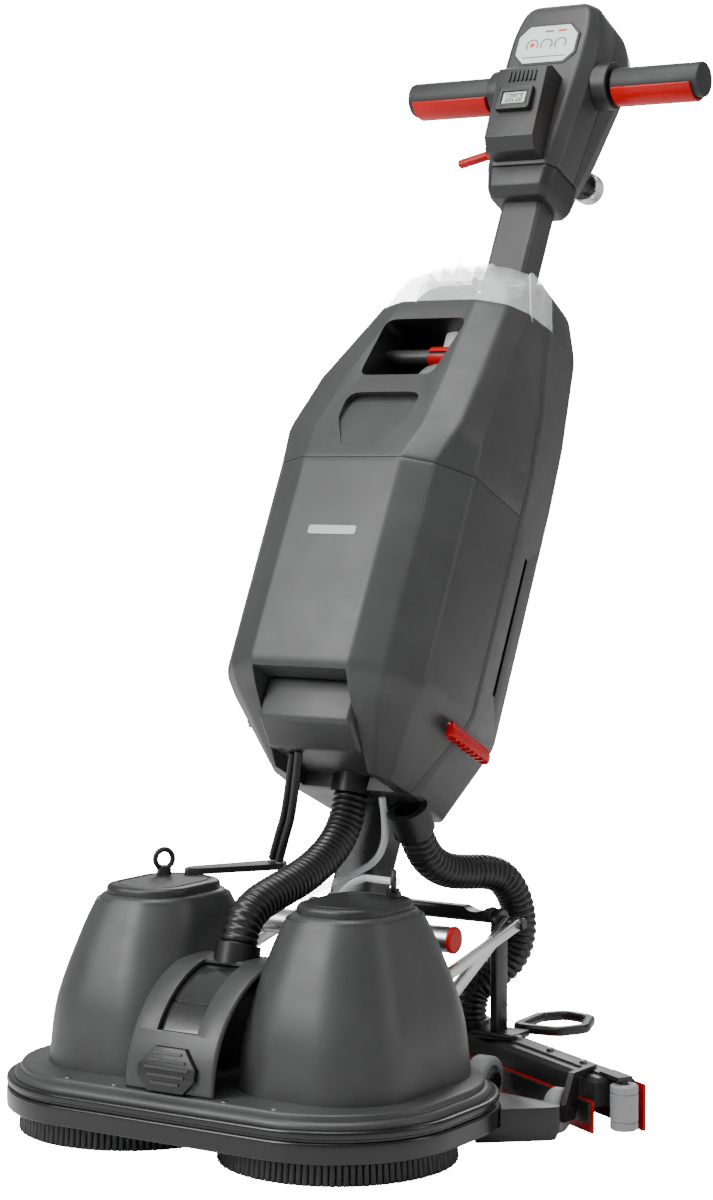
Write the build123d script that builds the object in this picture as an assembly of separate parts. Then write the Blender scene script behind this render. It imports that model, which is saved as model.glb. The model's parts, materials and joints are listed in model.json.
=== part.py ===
from build123d import *
import os
from math import atan2, cos, degrees, pi, radians, sin, sqrt, tan

# Upright walk-behind floor scrubber-drier. Two brushes side by side under a low deck,
# a leaning column with the tanks on it, a handle head on top and a squeegee behind.
# The machine's front faces -Y, its right side is +X, up is +Z, and the floor is Z = 0.
# Every size is in millimetres. Shapes on the deck are drawn with the line through the
# two brush spindles at Y = 0, and write() moves them so that the origin is on the floor
# under the middle of the whole machine.
brush_line_y = -294.0

wall = 3.0                 # moulded shells
seam = 0.5                 # gap between shells that meet
running = 0.05             # radial clearance of pins and spindles
gap = 0.4                  # clearance between parts of different bodies

# brushes and deck
brush_spacing = 226.0
brush_radius = 110.0
bristle_inner_radius = 52.0
bristle_length = 30.0
brush_block_height = 11.0
spindle_radius = 10.0
rim_radius = 119.0         # outline corner radius, front
rim_rear_radius = 120.0
deck_rear_y = 170.0
band_bottom_z = 21.5
band_top_z = 50.5
band_thickness = 6.0
deck_plate_bottom_z = 45.0
deck_plate_top_z = 56.0
ledge_inset = 13.0
ledge_top_z = 62.0

# domes over the brush motors: heights and half sizes of the rounded sections
dome_shift = 6.0           # domes stand this much nearer the middle than the spindles
dome_x = brush_spacing / 2 - dome_shift
dome_y = 38.0
dome_sections = [           # height above the ledge, half width, half depth, corner radius
    (0.0, 86.0, 110.0, 68.0),
    (58.0, 80.0, 102.0, 64.0),
    (118.0, 63.0, 80.0, 52.0),
    (154.0, 50.0, 62.0, 42.0),
]
motor_radius = 44.0
motor_height = 96.0

# arched cover between the domes
arch_radius = 106.0
arch_y = 5.0
arch_reach = 59.0          # from a dome's middle to the arch's side, which tucks against it
arch_half_width = dome_x - arch_reach
window_half_width = 22.0
socket_radius = 21.0

# column and its hinge
lean = 25.9                # degrees from upright, at rest
pivot_y = 161.0
pivot_z = 95.0
pin_radius = 8.0
column_half_width = 23.5
column_half_depth = 18.5
column_wall = 2.5
column_corner = 5.0
column_top = 1040.0        # along the column, from its hinge
foot_radius = 20.0
cheek_thickness = 9.0

# tank body on the column: height along the column, then (half width, depth) corners
# from the front face round to the back, where depth is measured back from the column's
# centre line
body_sections = [
    (200.0, [(44, -120), (58, -112), (66, -96), (70, -50), (64, 18), (54, 27)]),
    (258.0, [(50, -182), (80, -170), (101, -143), (105, -55), (90, 22), (78, 29)]),
    (278.0, [(55, -197.5), (86, -183), (113, -150), (116, -55), (98, 24), (86, 29.5)]),
    (490.0, [(55, -197.5), (86, -183), (114, -150), (117, -55), (98, 24), (86, 29.5)]),
    (530.0, [(62, -184), (98, -176), (112, -150), (117, -55), (98, 24), (86, 29.5)]),
    (600.0, [(58, -160), (92, -152), (106, -132), (112, -55), (96, 24), (84, 29.5)]),
    (700.0, [(42, -121), (74, -107), (88, -86), (94, -52), (90, 18), (74, 29)]),
    (740.0, [(34, -108), (62, -96), (76, -78), (84, -50), (80, 4), (62, 18)]),
    (757.0, [(26, -88), (48, -80), (60, -68), (68, -50), (62, -8), (46, 2)]),
]
body_split_depth = -62.0   # front tanks end here, the rear housing starts
tank_seam_v = 490.0
lower_tank_v = 200.0
lid_seam_v = 700.0
lid_top_v = 757.0
lid_back_depth = -44.0     # front face of the rear housing above the lid seam
lid_hinge_depth = -50.0
lid_hinge_v = 752.5
lid_rod_radius = 3.2
box_half_width = 52.0
box_front_depth = -166.0
box_bottom_v = 222.0
box_top_v = 273.0
battery_v = box_top_v + seam + wall
opening_bottom_v = 596.0
opening_top_v = 674.0
opening_half_width = 47.0
scoop_top_v = 572.0

carry_radius = 8.0
catch_wall = 2.0           # of the red catch round the bar
pipe_radius = 17.0         # suction pipe, which stands against the catch
carry_depth = -112.0
carry_v = 640.0
latch_x = 108.0
latch_v = 262.0
cuff_radius = 20.5
cuff_length = 26.0
lever_x = -56.0            # release lever's pin
lever_v = 938.0
lever_depth = -10.0
lever_pin_radius = 2.5

# handle head
head_sections = [
    (904.0, [(33, -41), (43, -30), (44, 14), (35, 34)]),
    (945.0, [(38, -43), (48, -30), (48, 22), (38, 48)]),
    (1018.0, [(44, -43), (55, -28), (55, 34), (42, 62)]),
    (1070.0, [(44, -41), (54, -26), (54, 42), (40, 78)]),
    (1100.0, [(36, -38), (46, -26), (46, 34), (36, 72)]),
    (1110.0, [(24, -26), (32, -18), (32, 24), (24, 52)]),
]
head_split_depth = 6.0
meter_half_width = 29.0
meter_bottom_v = 908.0
meter_top_v = 994.0
meter_front_depth = -76.0
collar_bottom_v = 872.0
collar_top_v = 903.5
grip_v = 1016.7
grip_depth = -4.0
grip_radius = 18.5
grip_inner_x = 72.0
grip_outer_x = 176.0
bar_radius = 11.0
trigger_inner_radius = 19.0
trigger_outer_radius = 23.5
trigger_inner_x = 76.0
trigger_outer_x = 168.0

# squeegee: a shallow V with a round middle
vee_radius = 200.0
vee_centre_y = 145.0
vee_angle = 30.0
vee_wing = 205.0
carrier_half_depth = 22.0
carrier_bottom_z = 24.0
carrier_top_z = 50.0
blade_thickness = 3.0
front_blade_height = 30.0
rear_blade_height = 44.0
rear_blade_offset = 23.5
lift_y = 164.0
lift_z = 86.0
lift_pin_radius = 6.0
top_pin_y = 315.0
top_pin_z = 164.0
strut_x = 106.0
strut_thickness = 6.0
upright_x = 94.0
upright_thickness = 8.0
guide_wheel_radius = 21.0
guide_wheel_x = 236.0
guide_wheel_y = 182.0
guide_wheel_width = 14.0
end_roller_radius = 13.0
end_roller_height = 42.0

# silver step bars behind the domes
step_radius = 12.5
step_y = 204.0
step_z = 163.5
step_foot_y = 150.0
step_post_x = 66.0
step_inner_x = 58.0
step_outer_x = 110.0

# wheels behind the deck
transport_wheel_radius = 24.0
transport_wheel_width = 20.0
transport_wheel_x = 124.0
transport_wheel_y = 240.0
axle_radius = 6.0

# hoses, cables and tubes: points of their routes, chosen by hand
hose_radius = 17.5
cable_radius = 4.0
tube_radius = 3.5
front_hose_points = [
    (0, 197, 296), (0, 190, 274), (0, 172, 252), (0, 142, 236),
    (0, 106, 225), (0, 68, 218), (0, 36, 211), (0, 14, 198), (0, 8, 178),
]
rear_hose_top_points = [
    (58, 220, 262), (59, 231, 242), (62, 250, 225), (67, 278, 215), (74, 305, 213),
]
rear_hose_bottom_points = [
    (74, 305, 213), (81, 332, 211), (88, 352, 195), (92, 363, 170), (92, 366, 142),
    (84, 362, 118), (68, 350, 102), (50, 338.6, 88), (50, 338.6, 60),
]
cable_points = [
    [(-21.2, 138.2, 342.2), (-37, 152, 282), (-47, 153, 256), (-56, 156, 231.8)],
    [(-31.3, 142.7, 339.6), (-50, 159, 281), (-61, 162, 257), (-70, 164, 231.9)],
]
water_tube_points = [
    (32, 202, 294.5), (34, 208, 262), (31, 200, 236), (17, 184, 223), (-6, 172, 212),
    (-25, 164, 203), (-27, 151, 198), (-8, 140, 196), (16, 128, 196), (38, 114, 208),
    (60, 101, 226), (84, 90, 236), (106, 70, 239), (120, 68, 239), (134, 68, 239),
]

column_frame = Pos(0, pivot_y, pivot_z) * Rot(-lean, 0, 0)
knob_neck_radius = 8.0
knob_tilt = Pos(20, 40, 930) * Rot(-74, 0, 0)     # on the column: where the clamp knob points


def write(node, *solids):
    """Write one node: a group of solids, moved to the machine's own origin."""
    placed = [Pos(0, brush_line_y, 0) * s for s in solids]
    shape = placed[0] if len(placed) == 1 else Compound(children=placed)
    export_step(shape, f"parts/{node}.step")


def mirrored(shape):
    return mirror(shape, about=Plane.YZ)


def both(shape):
    return [shape, mirrored(shape)]


def block(x, y, z):
    """A box from three (low, high) pairs."""
    size = [high - low for low, high in (x, y, z)]
    middle = [(high + low) / 2 for low, high in (x, y, z)]
    return Pos(*middle) * Box(*size)


def rod_x(radius, x0, x1, y, z):
    return Pos((x0 + x1) / 2, y, z) * Rot(0, 90, 0) * Cylinder(radius, x1 - x0)


def rod_y(radius, y0, y1, x, z):
    return Pos(x, (y0 + y1) / 2, z) * Rot(90, 0, 0) * Cylinder(radius, y1 - y0)


def rod_z(radius, z0, z1, x, y):
    return Pos(x, y, (z0 + z1) / 2) * Cylinder(radius, z1 - z0)


def bar_between(start, end, width, x, thickness):
    """A flat bar in the YZ plane from one pin centre to another, with round ends."""
    length = sqrt((end[0] - start[0]) ** 2 + (end[1] - start[1]) ** 2)
    angle = degrees(atan2(end[1] - start[1], end[0] - start[0]))
    outline = SlotCenterToCenter(length, width)
    bar = extrude(outline, thickness / 2, both=True)
    middle = ((start[0] + end[0]) / 2, (start[1] + end[1]) / 2)
    return Pos(x, *middle) * Rot(angle, 0, 0) * Rot(0, 0, 90) * Rot(90, 0, 0) * bar


def profile_x(points, x0, x1):
    """A closed outline in the YZ plane, extruded along X."""
    face = make_face(Polyline(*[(x0, y, z) for y, z in points], close=True))
    return extrude(face, x1 - x0, dir=(1, 0, 0))


def profile_z(points, z0, z1):
    """A closed outline in plan, extruded upwards."""
    face = make_face(Polyline(*[(x, y, z0) for x, y in points], close=True))
    return extrude(face, z1 - z0, dir=(0, 0, 1))


def section_loft(sections, inset=0.0):
    """A ruled skin over sections that are symmetric about X = 0."""
    faces = []
    for height, corners in sections:
        middle = (corners[0][1] + corners[-1][1]) / 2
        half = []
        for x, depth in corners:
            inwards = inset if depth < middle else -inset
            half.append((x - inset, depth + inwards))
        points = half + [(-x, depth) for x, depth in reversed(half)]
        faces.append(make_face(Polyline(*[(x, y, height) for x, y in points], close=True)))
    return loft(faces, ruled=True)


def route(points):
    """Straight runs joined by tangent arcs, each as large as its two runs allow."""
    corners = [Vector(*p) for p in points]
    radii = []
    for before, here, after in zip(corners, corners[1:], corners[2:]):
        shorter = min((here - before).length, (after - here).length)
        turn = radians((here - before).get_angle(after - here))
        radii.append(0.45 * shorter / tan(turn / 2))
    return FilletPolyline(*corners, radius=radii), radii


def tube_along(name, points, radius, inner=0.0):
    path, radii = route(points)
    start = Plane(origin=path @ 0, z_dir=path % 0)
    ring = Circle(radius) - Circle(inner) if inner else Circle(radius)
    tube = sweep(start * ring, path=path)
    expected = pi * (radius ** 2 - inner ** 2) * path.length
    print(name, "length", round(path.length, 1), "volume over section x length",
          round(tube.volume / expected, 4), "radii", [round(r) for r in radii])
    return tube


# ---------------------------------------------------------------- deck and brushes

def deck_outline(inset, z0, z1):
    half = brush_spacing / 2 + rim_radius - inset
    front = -rim_radius + inset
    rear = deck_rear_y - inset
    face = Pos(0, (front + rear) / 2) * Rectangle(2 * half, rear - front)
    face = fillet(face.vertices().group_by(Axis.Y)[0], rim_radius - inset)
    face = fillet(face.vertices().sort_by(Axis.Y)[-2:], rim_rear_radius - inset)
    return Pos(0, 0, z0) * extrude(face, z1 - z0)


def dome_envelope(inset=0.0):
    faces = []
    for height, half_x, half_y, corner in dome_sections:
        rectangle = RectangleRounded(2 * (half_x - inset), 2 * (half_y - inset), corner - inset)
        faces.append(Pos(dome_x, dome_y, ledge_top_z + height) * rectangle)
    return loft(faces)


def build_brushes():
    block_top = bristle_length + brush_block_height
    for side, x in (("left", -brush_spacing / 2), ("right", brush_spacing / 2)):
        disc = rod_z(brush_radius - 5, bristle_length, block_top, x, 0)
        disc = chamfer(disc.edges().group_by(Axis.Z)[-1], 2)
        recess = rod_z(bristle_inner_radius - 8, bristle_length, bristle_length + 4, x, 0)
        spindle = rod_z(spindle_radius, block_top, ledge_top_z - 0.5, x, 0)
        write(f"brush_{side}", disc - recess + spindle)
        ring = rod_z(brush_radius, 0, bristle_length, x, 0)
        ring -= rod_z(bristle_inner_radius, 0, bristle_length, x, 0)
        write(f"bristles_{side}", ring)


def build_deck():
    plate = deck_outline(band_thickness, deck_plate_bottom_z, deck_plate_top_z)
    plate += deck_outline(ledge_inset, deck_plate_top_z, ledge_top_z)
    for x in (-brush_spacing / 2, brush_spacing / 2):
        plate -= rod_z(spindle_radius + running, deck_plate_bottom_z, ledge_top_z, x, 0)
    write("deck_plate", plate)
    band = deck_outline(0, band_bottom_z, band_top_z)
    band -= deck_outline(band_thickness, band_bottom_z, band_top_z)
    groove = deck_outline(-1, 41.0, 43.0) - deck_outline(2.0, 41.0, 43.0)
    write("bumper_band", band - groove)


def build_domes():
    shell = dome_envelope() - dome_envelope(wall)
    top_z = ledge_top_z + dome_sections[-1][0]
    shell = shell + (dome_envelope() & block((0, 300), (-200, 300), (top_z - wall, top_z)))
    write("motor_domes", *both(shell))
    half_x, half_y, corner = dome_sections[-1][1:]
    cap = RectangleRounded(2 * half_x - 14, 2 * half_y - 14, corner - 7)
    cap = Pos(dome_x, dome_y, top_z) * extrude(cap, 8)
    cap = fillet(cap.edges().group_by(Axis.Z)[-1], 5)
    motor_z = ledge_top_z
    motor = rod_z(motor_radius, motor_z, motor_z + motor_height, brush_spacing / 2, 12)
    motor = fillet(motor.edges().group_by(Axis.Z)[-1], 6)
    write("brush_motors", *both(motor))
    elbow_z = top_z + 8
    gland = rod_z(7.0, elbow_z, elbow_z + 7, dome_x + 22, dome_y + 30)
    ring = Pos(dome_x + 22, dome_y + 30, elbow_z + 7 + 8) * Rot(0, 90, 30) * Torus(9, 3)
    caps = both(cap + gland + ring)
    # arm from the left cap with the round pad that the motor cables end on
    start, end = (-dome_x, 84), (-63, 160)
    angle = degrees(atan2(end[1] - start[1], end[0] - start[0]))
    length = sqrt((end[0] - start[0]) ** 2 + (end[1] - start[1]) ** 2)
    arm = extrude(SlotCenterToCenter(length, 18), 6) + Pos(length / 2, 0, 0) * extrude(Circle(15), 6)
    arm = Pos((start[0] + end[0]) / 2, (start[1] + end[1]) / 2, elbow_z) * Rot(0, 0, angle) * arm
    write("dome_caps", caps[0], caps[1] + arm)


def build_arch():
    top = ledge_top_z
    barrel = rod_x(arch_radius, -arch_half_width, arch_half_width, arch_y, top)
    width = (-arch_half_width, arch_half_width)
    barrel &= block(width, (-rim_radius + 6, 92), (top, top + 200))
    domes = both(dome_envelope(-seam))
    barrel = barrel - domes[0] - domes[1]
    hollow = rod_x(arch_radius - wall, -arch_half_width + wall, arch_half_width - wall,
                   arch_y, top)
    hollow &= block(width, (-rim_radius, 92 - wall), (top, top + 200))
    thicker = both(dome_envelope(-seam - wall))
    hollow = hollow - thicker[0] - thicker[1]
    window = profile_x([(-150, top + 52), (-30, top + 52), (-18, top + 140), (-150, top + 140)],
                       -window_half_width, window_half_width)
    socket_hole = rod_z(socket_radius - 4, top + 60, top + 140, 0, 8)
    arch = barrel - hollow - window - socket_hole
    drum = rod_x(arch_radius - wall - 0.3, -window_half_width - 4, window_half_width + 4,
                 arch_y, top)
    drum -= rod_x(arch_radius - wall - 6, -60, 60, arch_y, top)
    drum &= block((-60, 60), (-200, 20), (top + 30, top + 94))
    drum -= thicker[0]
    drum -= thicker[1]
    write("window_drum", drum)
    half = 31.0
    octagon = [(-half, 14), (-half + 12, 2), (half - 12, 2), (half, 14), (half, 24),
               (half - 14, 40), (-half + 14, 40), (-half, 24)]
    face = make_face(Polyline(*[(x, -rim_radius - 1, top + z) for x, z in octagon], close=True))
    plate = extrude(face, 60, dir=(0, 1, 0))
    outer = rod_x(arch_radius + 5, -60, 60, arch_y, top)
    inner = rod_x(arch_radius, -60, 60, arch_y, top)
    plate = (plate & outer) - inner
    write("arch_cover", arch)
    write("grille_badge", plate)
    ring = Circle(socket_radius) - Circle(hose_radius - 4)
    socket = cuff_plane(front_hose_points[::-1]) * extrude(ring, 30)
    socket -= rod_x(arch_radius, -60, 60, arch_y, top)
    return socket


def hinge_bracket():
    top = ledge_top_z
    inner = column_half_width + gap
    base = block((-inner - cheek_thickness, inner + cheek_thickness), (134, 168), (top, top + 9))
    bracket = base
    for sign in (-1, 1):
        low, high = sorted((sign * inner, sign * (inner + cheek_thickness)))
        cheek = block((low, high), (136, 178), (top, pivot_z))
        cheek += rod_x(21, low, high, pivot_y, pivot_z)
        cheek &= block((low, high), (136, 200), (top, 200))
        bracket += cheek
    return bracket - rod_x(pin_radius, -60, 60, pivot_y, pivot_z)


def hinge_pin():
    reach = column_half_width + gap + cheek_thickness
    pin = rod_x(pin_radius, -reach, reach, pivot_y, pivot_z)
    heads = both(rod_x(12, reach, reach + 4, pivot_y, pivot_z))
    return pin + heads[0] + heads[1]


def step_post():
    """Right-hand post that carries the silver step bar behind the dome."""
    post = bar_between((step_foot_y, ledge_top_z + 9), (step_y, step_z), 16, step_post_x, 7)
    post &= block((0, 200), (0, 300), (ledge_top_z, 300))
    return post - rod_x(step_radius, 0, 200, step_y, step_z) - dome_envelope(-seam)


def lift_ear():
    """Ear on the deck's rear edge with the pin that the squeegee struts turn on."""
    low, high = strut_x - 14, strut_x - strut_thickness / 2 - 1
    rear = deck_rear_y - band_thickness
    ear = block((low, high), (rear - 7, rear), (deck_plate_top_z, lift_z))
    ear += block((low, high), (lift_y - 9, lift_y + 9), (ledge_top_z, lift_z))
    ear += rod_x(9.5, low, high, lift_y, lift_z)
    ear -= deck_outline(ledge_inset, 0, ledge_top_z)
    return ear + rod_x(lift_pin_radius, high - 1, strut_x + 12, lift_y, lift_z)


def wheel_bracket():
    """Arm under the deck's rear edge that carries one transport wheel on its axle."""
    y, r = transport_wheel_y, transport_wheel_radius
    rear = deck_rear_y - band_thickness - 2
    outline = [(rear - 16, deck_plate_bottom_z), (rear, deck_plate_bottom_z),
               (rear, band_bottom_z - seam), (rear + 16, band_bottom_z - seam),
               (y - 12, r + 12), (y + 10, r + 10), (y + 10, r - 10), (y - 12, 8),
               (rear - 16, 8)]
    x = transport_wheel_x - transport_wheel_width / 2 - 1
    arm = profile_x(outline, x - 8, x)
    arm += rod_x(axle_radius, x - 1, x + transport_wheel_width + 2, y, r)
    return arm + rod_x(9, x + transport_wheel_width + 2, x + transport_wheel_width + 5, y, r)


def build_deck_fittings(socket):
    brackets = [hinge_bracket(), *both(step_post()), *both(lift_ear()), *both(wheel_bracket())]
    write("deck_brackets", *brackets)
    write("hinge_pin", hinge_pin())
    write("front_hose_socket", socket)
    step = rod_x(step_radius, step_inner_x, step_outer_x, step_y, step_z)
    step += rod_x(step_radius + 0.6, step_outer_x, step_outer_x + 4, step_y, step_z)
    write("step_bars", *both(step))


def build_wheels_and_wings():
    for side, shape in zip(("right", "left"), both(transport_wheel())):
        write(f"transport_wheel_{side}", shape)
    plan = [(206, 88), (252, 127), (262, 138), (258, 146), (236, 152), (178, 161), (160, 158)]
    wing = profile_z(plan, 5, 36)
    wing -= deck_outline(-1, 19.5, 60)
    wing -= deck_outline(50, 0, 60)
    wing += block((168, 182), (130, 146), (19.5, 45)) & deck_outline(band_thickness + 0.5, 0, 60)
    bolt = rod_y(4.0, 122, 132, 254, 20)
    write("side_wings", *both(wing - bolt))


def transport_wheel():
    x0, x1 = transport_wheel_x - 10, transport_wheel_x + 10
    tyre = rod_x(transport_wheel_radius, x0, x1, transport_wheel_y, transport_wheel_radius)
    tyre = fillet(tyre.edges().filter_by(GeomType.CIRCLE), 3)
    recess = rod_x(15, x1 - 4, x1, transport_wheel_y, transport_wheel_radius)
    bore = rod_x(axle_radius + running, x0, x1, transport_wheel_y, transport_wheel_radius)
    return tyre - recess - bore


# ---------------------------------------------------------------- column and tanks

def on_column(shape):
    return column_frame * shape


def body_piece(depth_range, height_range, open_top=False):
    """One moulding of the body: the skin between two planes each way, as a closed shell."""
    (d0, d1), (v0, v1) = depth_range, height_range
    outer = section_loft(body_sections) & block((-200, 200), (d0, d1), (v0, v1))
    top = v1 + 50 if open_top else v1 - wall
    inner = section_loft(body_sections, wall)
    inner &= block((-200, 200), (d0 + wall, d1 - wall), (v0 + wall, top))
    return outer - inner


def column_hole():
    side = 2 * (column_half_width + seam)
    deep = 2 * (column_half_depth + seam)
    return Pos(0, 0, 500) * Box(side, deep, 1600)


def build_column():
    tube = Rectangle(2 * column_half_width, 2 * column_half_depth)
    tube = fillet(tube.vertices(), column_corner)
    inner = Rectangle(2 * (column_half_width - column_wall), 2 * (column_half_depth - column_wall))
    inner = fillet(inner.vertices(), column_corner - column_wall)
    bottom = foot_radius + 4
    shape = Pos(0, 0, bottom) * extrude(tube - inner, column_top - bottom)
    shape -= rod_x(bar_radius, -60, 60, grip_depth, grip_v)
    plug = extrude(inner, bottom + 46)
    foot = rod_x(foot_radius, -column_half_width, column_half_width, 0, 0)
    foot += block((-column_half_width, column_half_width),
                  (-column_half_depth, column_half_depth), (0, bottom))
    foot += plug
    foot -= rod_x(pin_radius + running, -60, 60, 0, 0)
    write("column_tube", on_column(shape), on_column(foot))


def build_tanks():
    split = body_split_depth
    upper = body_piece((-260, split - seam / 2), (tank_seam_v + seam, lid_seam_v - 0.2), True)
    opening = profile_front(opening_half_width - 5, opening_half_width, opening_bottom_v,
                            opening_top_v, -200, -95)
    scoop = Pos(0, -174, 560) * Rot(-30, 0, 0) * extrude(
        fillet(Rectangle(82, 62).vertices(), 26), 10, both=True)
    scoop &= block((-60, 60), (-200, -100), (500, scoop_top_v))
    inner = section_loft(body_sections, 2 * wall)
    backing = section_loft(body_sections, wall) & block((-60, 60), (-200, -100), (505, 585))
    backing -= section_loft(body_sections, 2 * wall + 2)
    upper = upper + backing - (scoop - inner)
    upper -= opening
    write("recovery_tank", on_column(upper))

    lower = body_piece((-260, split - seam / 2), (lower_tank_v, tank_seam_v))
    box_room = block((-box_half_width - seam, box_half_width + seam), (-300, 0),
                     (lower_tank_v - 5, box_top_v + seam))
    floor_plate = block((-box_half_width - 8, box_half_width + 8), (-190, split - seam / 2),
                        (box_top_v + seam, box_top_v + seam + wall))
    floor_plate &= section_loft(body_sections)
    cheeks = block((-box_half_width - seam - wall, box_half_width + seam + wall),
                   (-300, split - seam / 2), (lower_tank_v, box_top_v + 1))
    cheeks &= section_loft(body_sections)
    lower = lower + cheeks + floor_plate - box_room
    write("solution_tank", on_column(lower))

    outline = [(box_front_depth, box_bottom_v + 10), (box_front_depth, box_top_v),
               (split - 1, box_top_v), (split - 1, box_bottom_v - 10),
               (box_front_depth + 22, box_bottom_v - 6)]
    box = profile_x(outline, -box_half_width, box_half_width)
    box -= profile_x([(box_front_depth + wall, box_bottom_v + 12),
                      (box_front_depth + wall, box_top_v - wall),
                      (split - 1 - wall, box_top_v - wall),
                      (split - 1 - wall, box_bottom_v - 4),
                      (box_front_depth + 24, box_bottom_v - 2)],
                     -box_half_width + wall, box_half_width - wall)
    front_room = cuff_room(front_hose_points)
    rear_room = cuff_room(rear_hose_top_points)
    write("power_box", on_column(box) - front_room)

    rear = body_piece((split + seam / 2, 200), (lower_tank_v, lid_top_v))
    cut_top = block((-200, 200), (-300, lid_back_depth), (lid_seam_v, 800))
    rear = rear - cut_top
    shelf = block((-200, 200), (split + seam / 2, lid_back_depth + wall),
                  (lid_seam_v - wall, lid_seam_v))
    front_wall = block((-200, 200), (lid_back_depth, lid_back_depth + wall), (lid_seam_v, 800))
    rear = rear + ((shelf + front_wall) & section_loft(body_sections))
    tab_room = block((-14, 14), (lid_back_depth - 1, -column_half_depth), (742, 800))
    rear = rear - column_hole() - tab_room
    for sign in (-1, 1):
        slot = block((-4, 4), (-30, 40), (330, 470))
        rear -= Pos(sign * 103, 0, 0) * slot & block((-200, 200), (2, 12), (330, 470))
    eye = rod_x(4.5, 46, 52, lid_hinge_depth, lid_hinge_v)
    eye += block((46, 52), (lid_hinge_depth, lid_back_depth), (lid_hinge_v - 4.5, lid_top_v))
    eye -= rod_x(lid_rod_radius, 0, 60, lid_hinge_depth, lid_hinge_v)
    rear = rear + eye + mirrored(eye)
    rear = on_column(rear) - front_room - rear_room
    write("rear_housing", rear)


def profile_front(half_bottom, half_top, v0, v1, depth0, depth1):
    """An opening seen from the front, with rounded corners."""
    points = [(-half_bottom, v0), (half_bottom, v0), (half_top, v1), (-half_top, v1)]
    face = make_face(Polyline(*points, close=True))
    face = fillet(face.vertices(), 9)
    solid = extrude(face, depth1 - depth0)
    return Pos(0, depth1, 0) * Rot(90, 0, 0) * solid


def build_body_fittings():
    # clear lid over the recovery tank, hinged at the back on a rod
    reach = lid_hinge_depth + 3
    lid = section_loft(body_sections) & block((-200, 200), (-260, reach), (lid_seam_v + gap, lid_top_v))
    inner = section_loft(body_sections, wall)
    lid -= inner & block((-200, 200), (-300, 0), (600, lid_top_v - wall))
    tab = block((-12, 12), (reach - 12, reach), (756, 778))
    knuckle = rod_x(4.3, -44, 44, lid_hinge_depth, lid_hinge_v)
    lid = lid + tab + knuckle - rod_x(lid_rod_radius + running, -60, 60, lid_hinge_depth, lid_hinge_v)
    for sign in (-1, 1):
        low, high = sorted((sign * 45.5, sign * 52.5))
        lid -= block((low, high), (reach - 10, 0), (lid_hinge_v - 8, 770))
    write("tank_lid", on_column(lid))
    # suction pipe with its float ball on top, seen through the lid
    floor_v = tank_seam_v + seam + wall
    pipe_depth = carry_depth + carry_radius + catch_wall + pipe_radius
    pipe = rod_z(pipe_radius, floor_v, 700, 16, pipe_depth)
    pipe -= rod_z(pipe_radius - wall, floor_v + 4, 700, 16, pipe_depth)
    ball = Pos(16, pipe_depth, 706.2) * Sphere(pipe_radius - 2)
    write("suction_pipe", on_column(pipe + ball))
    # carrying bar and its red catch inside the opening
    bar = rod_x(carry_radius, -120, 120, carry_depth, carry_v)
    write("carry_bar", on_column(bar & section_loft(body_sections, wall)))
    catch = rod_x(carry_radius + catch_wall, 6, 34, carry_depth, carry_v)
    catch -= rod_x(carry_radius + running, -60, 60, carry_depth, carry_v)
    write("carry_catch", on_column(catch))
    # side latches, each on a pin along its upper edge
    latch = block((latch_x, latch_x + 11), (-90, -14), (latch_v - 12, latch_v - 2))
    latch += rod_y(4.0, -90, -14, latch_x + 4, latch_v)
    latch = latch - rod_y(2.0 + running, -91, -13, latch_x + 4, latch_v)
    for side, shape in zip(("right", "left"), both(latch)):
        write(f"tank_latch_{side}", on_column(shape))
    pins = [rod_x(lid_rod_radius, -52, 52, lid_hinge_depth, lid_hinge_v), lever_pin()]
    pins += both(rod_y(2.0, -95, -9, latch_x + 4, latch_v))
    write("column_pins", *[on_column(pin) for pin in pins])
    # battery low in the front, suction motor in the rear housing
    write("battery", on_column(block((-80, 80), (-150, -72), (battery_v, 470))))
    motor_depth = body_split_depth + seam / 2 + wall + 30.3
    motor = rod_z(30, 590, 680, 60, motor_depth)
    write("suction_motor", on_column(motor & section_loft(body_sections, 2 * wall)))
    write("hose_cuffs", cuff_at(rear_hose_top_points), cuff_at(front_hose_points))


def lever_pin():
    pin = rod_y(lever_pin_radius, lever_depth - 12, lever_depth + 12, lever_x, lever_v)
    return pin


def cuff_plane(points):
    """Plane at a hose's first end, looking back into what the hose plugs into."""
    start, then = Vector(*points[0]), Vector(*points[1])
    return Plane(origin=start, z_dir=(start - then).normalized())


def cuff_room(points):
    return cuff_plane(points) * extrude(Circle(cuff_radius), cuff_length)


def cuff_at(points):
    """Collar that a hose ends in."""
    ring = Circle(cuff_radius) - Circle(hose_radius - 5)
    return cuff_plane(points) * extrude(ring, cuff_length)


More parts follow.
